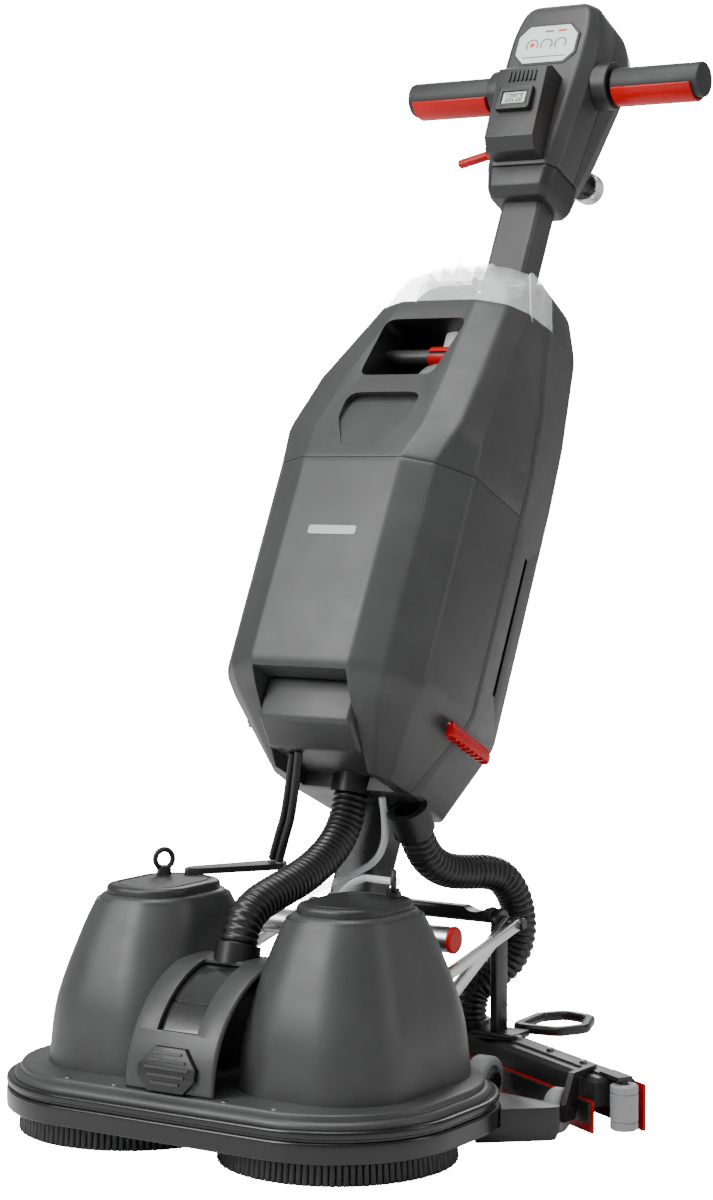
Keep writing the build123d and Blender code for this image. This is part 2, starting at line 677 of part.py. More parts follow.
def build_head():
    outer = section_loft(head_sections)
    inner = section_loft(head_sections, wall)
    inner &= block((-200, 200), (-100, 120), (head_sections[0][0] + wall, 1107))
    shell = outer - inner - column_hole()
    bore = rod_x(bar_radius + 0.5, -200, 200, grip_depth, grip_v)
    shell = shell - bore
    front = shell & block((-200, 200), (-200, head_split_depth - seam / 2), (800, 1200))
    rear = shell & block((-200, 200), (head_split_depth + seam / 2, 200), (800, 1200))
    neck = knob_tilt * Pos(0, 0, 14) * Cylinder(knob_neck_radius, 36)
    rear = rear + (neck - section_loft(head_sections))
    # ears on both sides of the release lever, with its pin through them
    ears = [block((lever_x - 5, -44), (lever_depth + low, lever_depth + low + 5),
                  (lever_v - 6, lever_v + 6)) - outer for low in (-10, 5)]
    hole = rod_y(lever_pin_radius, lever_depth - 20, lever_depth + 20, lever_x, lever_v)
    front = front + ears[0] + ears[1] - hole
    write("head_front", on_column(front))
    write("head_rear", on_column(rear))
    collar = section_loft([
        (collar_bottom_v, [(28, -30), (33, -24), (33, 20), (27, 26)]),
        (collar_bottom_v + 10, [(31, -38), (37, -30), (37, 24), (31, 31)]),
        (collar_top_v, [(33, -41), (42, -30), (43, 14), (35, 33)]),
    ])
    write("head_collar", on_column(collar - column_hole()))
    meter = profile_x([(meter_front_depth + 2, meter_bottom_v + 12), (meter_front_depth - 2, meter_top_v),
                       (meter_front_depth + 6, meter_top_v + 6), (-38, meter_top_v + 6),
                       (-38, meter_bottom_v), (meter_front_depth + 14, meter_bottom_v)],
                      -meter_half_width, meter_half_width)
    meter -= outer
    frame = block((-20.5, 20.5), (meter_front_depth - 4.5, -50), (948, 976)) - meter
    window = block((-14, 14), (meter_front_depth - 10, -50), (955, 969))
    glass = block((-14, 14), (meter_front_depth - 3.5, -50), (955, 969)) - meter
    write("meter_box", *[on_column(s) for s in (meter, frame - window, glass)])


def build_handlebar():
    bar = rod_x(bar_radius, -grip_outer_x + 4, grip_outer_x - 4, grip_depth, grip_v)
    boss = rod_x(25, 52, grip_inner_x - seam, grip_depth, grip_v)
    boss -= section_loft(head_sections)
    bosses = both(boss)
    write("handlebar", on_column(bar + bosses[0] + bosses[1]))
    grip = rod_x(grip_radius, grip_inner_x, grip_outer_x, grip_depth, grip_v)
    grip = fillet(grip.edges().filter_by(GeomType.CIRCLE).sort_by(Axis.X)[-1:], 2.5)
    grip -= rod_x(bar_radius, 0, grip_outer_x - 4, grip_depth, grip_v)
    write("grips", *[on_column(shape) for shape in both(grip)])
    trigger = rod_x(trigger_outer_radius, trigger_inner_x, trigger_outer_x, grip_depth, grip_v)
    trigger -= rod_x(trigger_inner_radius, 0, 200, grip_depth, grip_v)
    lower_half = block((0, 200), (grip_depth - 40, grip_depth + 40), (grip_v - 40, grip_v - 1))
    trigger &= lower_half
    for side, shape in zip(("right", "left"), both(trigger)):
        write(f"trigger_{side}", on_column(shape))


def build_head_controls():
    # red release lever on the left, turning on a pin that points backwards
    lever = Pos(lever_x, lever_depth, lever_v) * Rot(0, -16, 0) * Pos(-20, 0, 0) * Box(40, 9, 9)
    lever = fillet(lever.edges().filter_by(Axis.Y), 3)
    lever += rod_y(6.5, lever_depth - 4.5, lever_depth + 4.5, lever_x, lever_v)
    lever -= rod_y(lever_pin_radius + running, lever_depth - 10, lever_depth + 10, lever_x, lever_v)
    write("release_lever", on_column(lever))
    # knurled clamp knob low on the back
    knob = knob_tilt * Pos(0, 0, 34) * Cylinder(17, 18)
    knob -= knob_tilt * Pos(0, 0, 20) * Cylinder(knob_neck_radius + running, 30)
    write("clamp_knob", on_column(knob))


# ---------------------------------------------------------------- squeegee

def vee_edge(radius, wing):
    """Right half of one edge of the V: middle, end of the arc, and wing tip."""
    a = radians(vee_angle)
    tangent = (radius * sin(a), vee_centre_y + radius * cos(a))
    tip = (tangent[0] + wing * cos(a), tangent[1] - wing * sin(a))
    return tangent, tip


def vee_band(offset_front, offset_rear, z0, z1, wing=vee_wing):
    """A wall that follows the V, between two offsets from its centre line."""
    edges = []
    for offset in (offset_front, offset_rear):
        radius = vee_radius + offset
        tangent, tip = vee_edge(radius, wing)
        left = Line((-tip[0], tip[1], z0), (-tangent[0], tangent[1], z0))
        arc = ThreePointArc((-tangent[0], tangent[1], z0), (0, vee_centre_y + radius, z0),
                            (tangent[0], tangent[1], z0))
        right = Line((tangent[0], tangent[1], z0), (tip[0], tip[1], z0))
        edges.append((left, arc, right, tip))
    front, rear = edges
    close_right = Line((front[3][0], front[3][1], z0), (rear[3][0], rear[3][1], z0))
    close_left = Line((-rear[3][0], rear[3][1], z0), (-front[3][0], front[3][1], z0))
    wire = Wire([*front[:3][0].edges(), *front[1].edges(), *front[2].edges(),
                 *close_right.edges(), *rear[2].edges(), *rear[1].edges(),
                 *rear[0].edges(), *close_left.edges()])
    return extrude(Face(wire), z1 - z0, dir=(0, 0, 1))


def on_wing(shape):
    """Place a shape drawn at a wing's tip: X runs outwards along the wing, Y backwards."""
    _, tip = vee_edge(vee_radius, vee_wing)
    return Pos(tip[0], tip[1], 0) * Rot(0, 0, -vee_angle) * shape


def build_squeegee():
    half = carrier_half_depth
    carrier = vee_band(-half, half, carrier_bottom_z, carrier_top_z)
    slot = vee_band(-half + 8, half - 8, carrier_bottom_z, carrier_top_z - 8, vee_wing - 12)
    carrier -= slot
    port_x, port_y, port_top = rear_hose_bottom_points[-1]
    carrier += rod_z(hose_radius + 3.5, carrier_top_z, port_top, port_x, port_y)
    carrier -= rod_z(hose_radius - 5, carrier_bottom_z, port_top, port_x, port_y)
    write("squeegee_carrier", carrier)
    write("front_blade", vee_band(-half - blade_thickness, -half, 0, front_blade_height))
    write("rear_blade", vee_band(half, half + blade_thickness, 0, rear_blade_height,
                                 vee_wing + 14))

    # end rollers on brackets
    bracket = block((-14, 18), (-8, 8), (carrier_top_z, carrier_top_z + 4))
    bracket += rod_z(4.0, 4, carrier_top_z, 16, 0)
    forks = both(on_wing(bracket))
    roller = rod_z(end_roller_radius, 5, 5 + end_roller_height, 16, 0)
    roller = fillet(roller.edges().filter_by(GeomType.CIRCLE), 2)
    roller -= rod_z(4.0 + running, 0, 60, 16, 0)
    for side, shape in zip(("right", "left"), both(on_wing(roller))):
        write(f"end_roller_{side}", shape)

    # guide wheels on forks in front of the wings
    x, y, r = guide_wheel_x, guide_wheel_y, guide_wheel_radius
    wheel = rod_x(r, x - guide_wheel_width / 2, x + guide_wheel_width / 2, y, r)
    wheel = fillet(wheel.edges().filter_by(GeomType.CIRCLE), 3)
    wheel -= rod_x(5 + running, x - 20, x + 20, y, r)
    for side, shape in zip(("right", "left"), both(wheel)):
        write(f"guide_wheel_{side}", shape)
    side = x + guide_wheel_width / 2 + 1
    top = carrier_top_z
    arm = profile_x([(y - 10, r - 8), (y + 8, r - 8), (y + 15, r + 6), (y + 15, top), (y + 50, top),
                     (y + 50, top + 6), (y + 6, top + 6), (y - 10, r + 8)], side, side + 6)
    arm += rod_x(5, x - guide_wheel_width / 2 - 1, side + 8, y, r)
    write("wheel_forks", *forks, *both(arm))


def build_lift_frame():
    # cross bar and uprights that stand on the carrier
    x0, x1 = upright_x, upright_x + upright_thickness
    upright = block((x0, x1), (top_pin_y - 13, top_pin_y + 10), (carrier_top_z, top_pin_z))
    upright += rod_x(13, x0, x1, top_pin_y, top_pin_z)
    foot = block((x0 - 18, x1 + 22), (top_pin_y - 20, top_pin_y + 16), (carrier_top_z, carrier_top_z + 7))
    upright += foot
    upright += rod_x(lift_pin_radius, x1, strut_x + 20, top_pin_y, top_pin_z)
    beam = block((-x0, x0), (top_pin_y - 11, top_pin_y + 5), (top_pin_z - 1, top_pin_z + 14))
    beam = fillet(beam.edges().filter_by(Axis.X), 4)
    # foot loops behind the uprights
    plan = make_face(Polyline((96, 334), (150, 340), (168, 372), (150, 420), (112, 428),
                              (92, 400), close=True))
    plan = fillet(plan.vertices(), 14)
    loop = Pos(0, 0, carrier_top_z) * extrude(plan - offset(plan, -11), 9)
    write("squeegee_frame", *both(upright), beam)
    write("foot_loops", *both(loop - upright))
    lower = bar_between((lift_y, lift_z), (top_pin_y, top_pin_z), 13, strut_x, strut_thickness)
    crank_top = (lift_y + 4, lift_z + 46)
    crank = bar_between((lift_y, lift_z), crank_top, 16, strut_x + strut_thickness, strut_thickness)
    upper = bar_between(crank_top, (top_pin_y, top_pin_z), 11, strut_x + 2 * strut_thickness + 1,
                        strut_thickness)
    pin = rod_x(3.5, strut_x + strut_thickness, strut_x + 3 * strut_thickness, *crank_top)
    struts = lower + crank + upper + pin
    struts -= rod_x(lift_pin_radius + running, 0, strut_x + 12.5, lift_y, lift_z)
    struts -= rod_x(lift_pin_radius, 0, 200, top_pin_y, top_pin_z)
    write("lift_struts", *both(struts))


# ---------------------------------------------------------------- hoses and cables

def build_hoses():
    write("front_hose", tube_along("front hose", front_hose_points, hose_radius, hose_radius - 3))
    write("rear_hose_top", tube_along("rear hose top", rear_hose_top_points, hose_radius,
                                      hose_radius - 3))
    write("rear_hose_bottom", tube_along("rear hose bottom", rear_hose_bottom_points,
                                         hose_radius, hose_radius - 3))
    cables = [tube_along("cable", points, cable_radius) for points in cable_points]
    write("motor_cables", *cables)
    write("water_tube", tube_along("water tube", water_tube_points, tube_radius))


os.makedirs("parts", exist_ok=True)
build_brushes()
build_deck()
build_domes()
build_deck_fittings(build_arch())
build_wheels_and_wings()
build_column()
build_tanks()
build_body_fittings()
build_head()
build_handlebar()
build_head_controls()
build_squeegee()
build_lift_frame()
build_hoses()
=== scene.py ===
# %% [markdown]
# An upright floor scrubber stands on two round brushes, with a V-shaped squeegee behind it and
# a tank body on a tilted column. The imported model is the frame: every piece made here is placed
# by its numbers, in metres.

# %% Load the frame
import json
import math
import bmesh
import bpy
from mathutils import Matrix, Vector

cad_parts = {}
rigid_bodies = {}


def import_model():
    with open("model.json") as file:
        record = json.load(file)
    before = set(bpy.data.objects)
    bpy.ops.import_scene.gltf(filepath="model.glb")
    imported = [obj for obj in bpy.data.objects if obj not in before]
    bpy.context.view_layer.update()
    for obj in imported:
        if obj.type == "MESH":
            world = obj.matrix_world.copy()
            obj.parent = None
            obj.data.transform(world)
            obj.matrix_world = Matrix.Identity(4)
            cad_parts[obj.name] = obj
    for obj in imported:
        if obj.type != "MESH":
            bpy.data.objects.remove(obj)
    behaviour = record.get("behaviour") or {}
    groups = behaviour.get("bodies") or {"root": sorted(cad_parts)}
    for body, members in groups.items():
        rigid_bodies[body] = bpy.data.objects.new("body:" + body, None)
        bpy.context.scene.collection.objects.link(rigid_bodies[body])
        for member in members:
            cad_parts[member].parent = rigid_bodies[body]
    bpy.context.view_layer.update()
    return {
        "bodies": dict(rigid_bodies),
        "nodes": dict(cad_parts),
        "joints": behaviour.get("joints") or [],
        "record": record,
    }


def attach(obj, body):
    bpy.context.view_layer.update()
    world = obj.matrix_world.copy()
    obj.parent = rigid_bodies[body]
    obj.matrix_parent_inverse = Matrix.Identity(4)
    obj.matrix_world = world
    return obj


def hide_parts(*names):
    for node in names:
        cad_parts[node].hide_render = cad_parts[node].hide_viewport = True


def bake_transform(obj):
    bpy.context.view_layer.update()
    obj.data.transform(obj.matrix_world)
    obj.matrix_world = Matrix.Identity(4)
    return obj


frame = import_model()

nodes = frame["nodes"]

# %% [markdown]
# A camera is set first. A long lens keeps the tall machine free of steep perspective, so the
# camera stands well back, to the front right, a little above the middle of the body.

# %% Camera
bpy.ops.object.select_all(action="DESELECT")
heading, dip = math.radians(32.76), math.radians(3.21)
forward = Vector((-math.sin(heading) * math.cos(dip), math.cos(heading) * math.cos(dip),
                  -math.sin(dip)))
bpy.ops.object.camera_add(location=(1.4753, -2.3803, 0.6362))
camera = bpy.context.object
camera.rotation_euler = forward.to_track_quat("-Z", "Y").to_euler()
camera.data.lens = 84.94
camera.data.sensor_width = 36
bpy.context.scene.camera = camera
print("camera", [round(c, 3) for c in camera.location], "lens", camera.data.lens)

# %% [markdown]
# The mouldings are drawn in millimetres in two plain frames: the deck's, whose zero is under the
# line through the brush spindles, and the column's, whose zero is the hinge and whose height
# runs up the leaning column. A matrix for each turns the drawing into metres in its place.

# %% The two drawing frames
brush_line, hinge_y, hinge_z, lean = -0.294, -0.133, 0.095, math.radians(25.9)
on_deck = Matrix.Translation((0, brush_line, 0)) @ Matrix.Scale(0.001, 4)
on_column = (Matrix.Translation((0, hinge_y, hinge_z)) @ Matrix.Rotation(-lean, 4, "X")
             @ Matrix.Scale(0.001, 4))
print("column frame starts at", on_column.translation)

# %% [markdown]
# Every operator in Blender acts on what is selected, so the same few steps come back for each
# piece: select it alone, go into edit mode, select some faces or edges by where they are, use
# an operator, and leave. These helpers are those steps.

# %% Selecting and shaping
def only(piece):
    if bpy.context.object and bpy.context.object.mode != "OBJECT":
        bpy.ops.object.mode_set(mode="OBJECT")
    bpy.ops.object.select_all(action="DESELECT")
    piece.select_set(True)
    bpy.context.view_layer.objects.active = piece


def pick(piece, test, what="faces"):
    """Go into edit mode and select the faces or edges that pass a test."""
    only(piece)
    bpy.ops.object.mode_set(mode="EDIT")
    bpy.ops.mesh.select_mode(type="FACE" if what == "faces" else "EDGE")
    bpy.ops.mesh.select_all(action="DESELECT")
    mesh = bmesh.from_edit_mesh(piece.data)
    mesh.normal_update()
    for part in getattr(mesh, what):
        if test(part):
            part.select_set(True)
    bmesh.update_edit_mesh(piece.data)


def soften(piece, width, test, segments=3):
    """Round the edges that pass a test."""
    pick(piece, test, "edges")
    bpy.ops.mesh.bevel(offset=width, offset_type="OFFSET", segments=segments, affect="EDGES",
                       clamp_overlap=True)
    bpy.ops.object.mode_set(mode="OBJECT")


def sharp(edge, degrees=25):
    return len(edge.link_faces) == 2 and edge.calc_face_angle(0) > math.radians(degrees)


def crisp(edge):
    """True for the square edge at a drum's or a tube's rim."""
    return sharp(edge, 60)


def level(edge):
    """True for an edge that lies flat, at one height."""
    return abs(edge.verts[0].co.z - edge.verts[1].co.z) < 0.01


def cut(piece, cutter, operation="DIFFERENCE"):
    """Cut one piece with another, which is then thrown away."""
    only(piece)
    joint = piece.modifiers.new("cut", "BOOLEAN")
    joint.operation, joint.object, joint.solver = operation, cutter, "EXACT"
    bpy.ops.object.modifier_apply(modifier="cut")
    bpy.data.objects.remove(cutter)


def settle(piece, placement, paint, body=None, replaces=(), slot=None, smooth=35):
    """Put a drawn piece in its place in metres, smooth it, paint it and let it ride on a body."""
    only(piece)
    piece.data.transform(placement @ piece.matrix_world)
    piece.matrix_world = Matrix.Identity(4)
    bpy.ops.object.shade_smooth_by_angle(angle=math.radians(smooth))
    piece.data.materials.clear()
    piece.data.materials.append(paint)
    if body:
        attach(piece, body)
    if replaces:
        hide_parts(*replaces)
    print(piece.name, len(piece.data.polygons), "faces")
    return piece


def copy_of(piece, name, placement=Matrix.Identity(4)):
    twin = piece.copy()
    twin.data = piece.data.copy()
    twin.name = name
    bpy.context.collection.objects.link(twin)
    twin.data.transform(placement)
    if placement.determinant() < 0:
        twin.data.flip_normals()
    return twin


def join(pieces, name):
    only(pieces[0])
    for piece in pieces:
        piece.select_set(True)
    bpy.ops.object.join()
    pieces[0].name = name
    return pieces[0]


def both_sides(piece, name, *settings, **more):
    """Place a right-hand piece and its mirror image on the same body."""
    twin = copy_of(piece, name + "_left", across)
    piece.name = name + "_right"
    settle(piece, *settings, **more)
    settle(twin, *settings, **more)


across = Matrix.Scale(-1, 4, (1, 0, 0))
from_front = Matrix(((1, 0, 0, 0), (0, 0, 1, 0), (0, 1, 0, 0), (0, 0, 0, 1)))
from_side = Matrix(((0, 0, 1, 0), (1, 0, 0, 0), (0, 1, 0, 0), (0, 0, 0, 1)))

# %% [markdown]
# Three kinds of start cover most mouldings here. A block is a cube stretched to its size. A drum
# is a cylinder along one axis. A skin is one face extruded upwards again and again, with its
# corners moved to a new outline each time, as when clay is pulled up in rings.

# %% Block, drum and skin
def block(name, x, y, z):
    bpy.ops.object.select_all(action="DESELECT")
    middle = [(a + b) / 2 for a, b in (x, y, z)]
    size = [b - a for a, b in (x, y, z)]
    bpy.ops.mesh.primitive_cube_add(size=1, location=middle)
    piece = bpy.context.object
    piece.name = name
    piece.scale = size
    bpy.ops.object.transform_apply(location=True, rotation=True, scale=True)
    return piece


def drum(name, radius, start, end, axis="Z", at=(0, 0), sides=48):
    bpy.ops.object.select_all(action="DESELECT")
    bpy.ops.mesh.primitive_cylinder_add(radius=radius, depth=end - start, vertices=sides)
    piece = bpy.context.object
    piece.name = name
    middle = (start + end) / 2
    turn = {"Z": (0, 0, 0), "X": (0, math.pi / 2, 0), "Y": (-math.pi / 2, 0, 0)}[axis]
    place = {"Z": (at[0], at[1], middle), "X": (middle, at[0], at[1]),
             "Y": (at[0], middle, at[1])}[axis]
    piece.rotation_euler, piece.location = turn, place
    bpy.ops.object.transform_apply(location=True, rotation=True, scale=True)
    return piece


def skin(name, sections):
    """A closed skin through outlines [(height, [(x, y), ...]), ...] of equal corner count."""
    bpy.ops.object.select_all(action="DESELECT")
    count = len(sections[0][1])
    bpy.ops.mesh.primitive_circle_add(vertices=count, radius=1, fill_type="NGON")
    piece = bpy.context.object
    piece.name = name
    bpy.ops.object.mode_set(mode="EDIT")
    mesh = bmesh.from_edit_mesh(piece.data)
    mesh.faces.ensure_lookup_table()
    ring = list(mesh.faces[0].verts)
    clockwise = sum(a[0] * b[1] - b[0] * a[1] for a, b in
                    zip(sections[0][1], sections[0][1][1:] + sections[0][1][:1])) < 0
    for height_number, (height, outline) in enumerate(sections):
        points = outline[::-1] if clockwise else outline
        if height_number:
            before = [v.co.copy() for v in ring]
            bpy.ops.mesh.extrude_region_move(TRANSFORM_OT_translate={"value": (0, 0, 10000)})
            mesh = bmesh.from_edit_mesh(piece.data)
            fresh = [v for v in mesh.verts if v.select]
            ring = [min(fresh, key=lambda v, b=b: (v.co - b - Vector((0, 0, 10000))).length)
                    for b in before]
        for vertex, (x, y) in zip(ring, points):
            vertex.co = (x, y, height)
        bmesh.update_edit_mesh(piece.data)
    bpy.ops.mesh.select_all(action="SELECT")
    bpy.ops.mesh.normals_make_consistent(inside=False)
    bpy.ops.object.mode_set(mode="OBJECT")
    return piece


def rounded(corners, radius, steps=4):
    """An outline with its corners rounded, with the same number of points at each corner."""
    points = []
    for i, here in enumerate(corners):
        here, before = Vector(here), Vector(corners[i - 1])
        after = Vector(corners[(i + 1) % len(corners)])
        into, out = before - here, after - here
        turn = math.pi - into.angle(out, math.pi)
        reach = min(radius * math.tan(turn / 2), 0.46 * into.length, 0.46 * out.length)
        a, b = here + into.normalized() * reach, here + out.normalized() * reach
        for step in range(steps + 1):
            t = step / steps
            points.append(tuple((1 - t) ** 2 * a + 2 * t * (1 - t) * here + t ** 2 * b))
    return points


def around(half, radius=8.0, steps=4):
    """A whole rounded outline, symmetric about X = 0, from the corners of its right half."""
    return rounded(half + [(-x, y) for x, y in reversed(half)], radius, steps)


def oval(x, y, half_x, half_y, radius, steps=12):
    """A rectangle with round corners, about (x, y)."""
    points = []
    for sx, sy, start in ((1, -1, -90), (1, 1, 0), (-1, 1, 90), (-1, -1, 180)):
        middle = (x + sx * (half_x - radius), y + sy * (half_y - radius))
        for step in range(steps + 1):
            a = math.radians(start + 90 * step / steps)
            points.append((middle[0] + radius * math.cos(a), middle[1] + radius * math.sin(a)))
    return points


def slab(name, outline, near, far):
    """An outline seen from the front, (x, height), given depth from near to far."""
    piece = skin(name, [(near, outline), (far, outline)])
    piece.data.transform(from_front)
    piece.data.flip_normals()
    return piece


def slice_off(piece, point, normal):
    """Cut with a plane, drop what lies on the normal's side, and close the cut."""
    pick(piece, lambda face: True)
    bpy.ops.mesh.bisect(plane_co=point, plane_no=normal, use_fill=True, clear_outer=True)
    bpy.ops.object.mode_set(mode="OBJECT")


def also(piece, paint, test):
    """Give the faces that pass a test, by their centre and normal, a second finish."""
    piece.data.materials.append(paint)
    number = len(piece.data.materials) - 1
    for face in piece.data.polygons:
        if test(face.center, face.normal):
            face.material_index = number


# %% [markdown]
# Surfaces vary: a moulding is never one flat colour. A small class wraps a number that changes
# over the surface, so sums on it can be written as Python, and each sum adds its Math node.

# %% A finish and its changing values
class Value:
    def __init__(self, finish, socket):
        self.finish, self.socket = finish, socket

    def sum(self, operation, *values):
        return self.finish.node("ShaderNodeMath", {"operation": operation}, values)

    def __add__(self, other):
        return self.sum("ADD", self, other)

    def __mul__(self, other):
        return self.sum("MULTIPLY", self, other)

    def between(self, low, high):
        """0 below low, 1 above high, and a smooth rise between them."""
        return self.finish.node("ShaderNodeMapRange", {"interpolation_type": "SMOOTHSTEP"},
                                {"Value": self, "From Min": low, "From Max": high})

    __radd__, __rmul__ = __add__, __mul__


class Finish:
    """One material: nodes are added by name, and paint() fills the shader's sockets."""

    def __init__(self, name):
        self.material = bpy.data.materials.new(name)
        self.material.use_nodes = True
        self.tree = self.material.node_tree
        self.shader = self.tree.nodes["Principled BSDF"]
        self.place = self.node("ShaderNodeTexCoord", {}, {}, "Object")

    def node(self, kind, settings, inputs, output=0):
        fresh = self.tree.nodes.new(kind)
        for key, value in settings.items():
            setattr(fresh, key, value)
        pairs = inputs.items() if isinstance(inputs, dict) else enumerate(inputs)
        for key, value in pairs:
            self.fill(fresh.inputs[key], value)
        return Value(self, fresh.outputs[output])

    def fill(self, socket, value):
        if isinstance(value, Value):
            self.tree.links.new(value.socket, socket)
        elif isinstance(value, tuple) and len(value) == 3 and socket.type == "RGBA":
            socket.default_value = (*value, 1)
        else:
            socket.default_value = value

    def noise(self, scale, detail=2.0, stretch=(1, 1, 1)):
        place = self.node("ShaderNodeMapping", {}, {"Vector": self.place, "Scale": stretch})
        return self.node("ShaderNodeTexNoise", {}, {"Vector": place, "Scale": scale,
                                                   "Detail": detail})

    def mix(self, factor, first, second):
        return self.node("ShaderNodeMix", {"data_type": "RGBA"}, {0: factor, 6: first, 7: second},
                         2)

    def bump(self, height, distance, strength=1.0):
        return self.node("ShaderNodeBump", {}, {"Height": height, "Distance": distance,
                                                "Strength": strength})

    def paint(self, **sockets):
        for name, value in sockets.items():
            self.fill(self.shader.inputs[name.replace("_", " ")], value)
        return self.material


def shade(colour, factor):
    return tuple(min(1.0, c * factor) for c in colour)


# %% [markdown]
# Most of the machine is moulded plastic with a fine grain from the mould. Grain is a small bump,
# and the tone and the gloss drift a little over a hand's width, as they do on real mouldings.

# %% Moulded plastic, rubber and coated metal
def moulded(name, colour, roughness=0.45, grain=0.00005, grain_scale=900, drift=0.10, coat=0.0):
    finish = Finish(name)
    broad = finish.noise(14, 3)
    fine = finish.noise(grain_scale, 3)
    tone = finish.mix(broad.between(0.35, 0.65), shade(colour, 1 - drift),
                      shade(colour, 1 + drift))
    speck = finish.mix(fine.between(0.45, 0.75) * 0.35, tone, shade(colour, 1.35))
    return finish.paint(Base_Color=speck, Roughness=finish.noise(40) * 0.14 + (roughness - 0.07),
                        Normal=finish.bump(fine, grain, 0.6), Coat_Weight=coat)


def metal(name, colour, roughness, stretch, scratch=0.00002):
    finish = Finish(name)
    lines = finish.noise(700, 3, stretch)
    broad = finish.noise(25, 3)
    tone = finish.mix(broad.between(0.3, 0.7), shade(colour, 0.88), shade(colour, 1.06))
    return finish.paint(Base_Color=tone, Metallic=1.0,
                        Roughness=lines * 0.18 + (roughness - 0.09),
                        Normal=finish.bump(lines, scratch, 0.5))


def clear(name, colour, alpha, roughness=0.12):
    """Clear plastic that lets light through: faint streaks and a soft haze."""
    finish = Finish(name)
    haze = finish.noise(30, 4)
    material = finish.paint(
        Base_Color=finish.mix(haze.between(0.3, 0.7), colour, shade(colour, 1.08)),
        Roughness=haze * 0.1 + roughness, Alpha=haze * 0.14 + (alpha - 0.07),
        Normal=finish.bump(finish.noise(120), 0.0001, 0.3))
    finish.shader.inputs["IOR"].default_value = 1.45
    finish.shader.inputs["Coat Weight"].default_value = 0.6
    return material


grey_shell = moulded("grey moulding", (0.036, 0.037, 0.037), 0.42)
dark_shell = moulded("dark moulding", (0.014, 0.0145, 0.0145), 0.42)
lip_black = moulded("glossy black lip", (0.004, 0.004, 0.0045), 0.24, 0.00002)
frame_black = moulded("black coated steel", (0.010, 0.010, 0.0105), 0.34, 0.00004, 1600)
block_black = moulded("black moulding", (0.006, 0.006, 0.0065), 0.38)
hose_black = moulded("hose rubber", (0.007, 0.007, 0.0075), 0.36, 0.00003, 1200)
cable_black = moulded("cable rubber", (0.012, 0.012, 0.012), 0.45, 0.00003, 1500)
grip_black = moulded("soft grip", (0.014, 0.0145, 0.015), 0.52, 0.00008, 1500)
red_gloss = moulded("red plastic", (0.46, 0.0015, 0.003), 0.30, 0.00002)
red_rubber = moulded("red blade rubber", (0.42, 0.002, 0.004), 0.36, 0.00003)
for red in (red_gloss, red_rubber):
    red.node_tree.nodes["Principled BSDF"].inputs["Specular IOR Level"].default_value = 0.22
wheel_grey = moulded("grey tread", (0.27, 0.275, 0.28), 0.5, 0.00006)
bristle_grey = moulded("bristle nylon", (0.016, 0.017, 0.018), 0.55, 0.00003, drift=0.25)
white_plastic = moulded("white plastic", (0.72, 0.74, 0.75), 0.3, 0.00001)
column_grey = moulded("column coat", (0.045, 0.045, 0.045), 0.36, 0.00003, 1800)
drum_grey = moulded("smooth drum", (0.020, 0.0205, 0.021), 0.2, 0.00001, coat=0.4)
silver = metal("satin silver", (0.62, 0.62, 0.63), 0.3, (0.05, 1, 1))
steel = metal("bright steel", (0.55, 0.55, 0.56), 0.22, (1, 1, 0.1))
chrome = metal("knurled chrome", (0.74, 0.74, 0.75), 0.16, (1, 1, 1))
clear_lid = clear("clear lid", (0.80, 0.82, 0.82), 0.32)
clear_tube = clear("clear tube", (0.80, 0.83, 0.84), 0.5, 0.08)
print(len(bpy.data.materials), "finishes")

# %% [markdown]
# The CAD nodes that already have the right shape keep it, and only get a finish. The others
# get one too, so that nothing is ever bare, and are replaced further down.

# %% Finishes for the CAD nodes
worn_by = (
    (grey_shell, "deck_plate motor_domes arch_cover recovery_tank solution_tank rear_housing "
                 "head_front head_rear"),
    (lip_black, "bumper_band"),
    (dark_shell, "dome_caps grille_badge side_wings power_box carry_bar head_collar meter_box "
                 "handlebar squeegee_carrier"),
    (steel, "brush_motors hinge_pin suction_motor column_pins"),
    (drum_grey, "window_drum"),
    (block_black, "front_hose_socket brush_left brush_right battery hose_cuffs"),
    (frame_black, "deck_brackets squeegee_frame foot_loops wheel_forks"),
    (silver, "step_bars lift_struts"),
    (hose_black, "front_hose rear_hose_top rear_hose_bottom"),
    (cable_black, "motor_cables"),
    (clear_tube, "water_tube"),
    (bristle_grey, "bristles_left bristles_right"),
    (wheel_grey, "transport_wheel_left transport_wheel_right guide_wheel_left "
                 "guide_wheel_right end_roller_left end_roller_right"),
    (column_grey, "column_tube"),
    (white_plastic, "suction_pipe"),
    (red_gloss, "carry_catch tank_latch_left tank_latch_right release_lever trigger_left "
                "trigger_right"),
    (grip_black, "grips"),
    (clear_lid, "tank_lid"),
    (chrome, "clamp_knob"),
    (red_rubber, "front_blade rear_blade"),
)
for finish, names in worn_by:
    for node in names.split():
        nodes[node].data.materials.clear()
        nodes[node].data.materials.append(finish)
print("painted", sum(len(names.split()) for finish, names in worn_by), "of", len(nodes), "nodes")

# %% [markdown]
# A pale floor under a white sky makes a plain studio: both look bright to the camera, and light
# the machine only softly. A strong lamp at the front left and one above shape it, a narrow one at
# the right keeps that side dark, and one behind draws its edges.

# %% Studio
white, fill_light = 24, 0.42


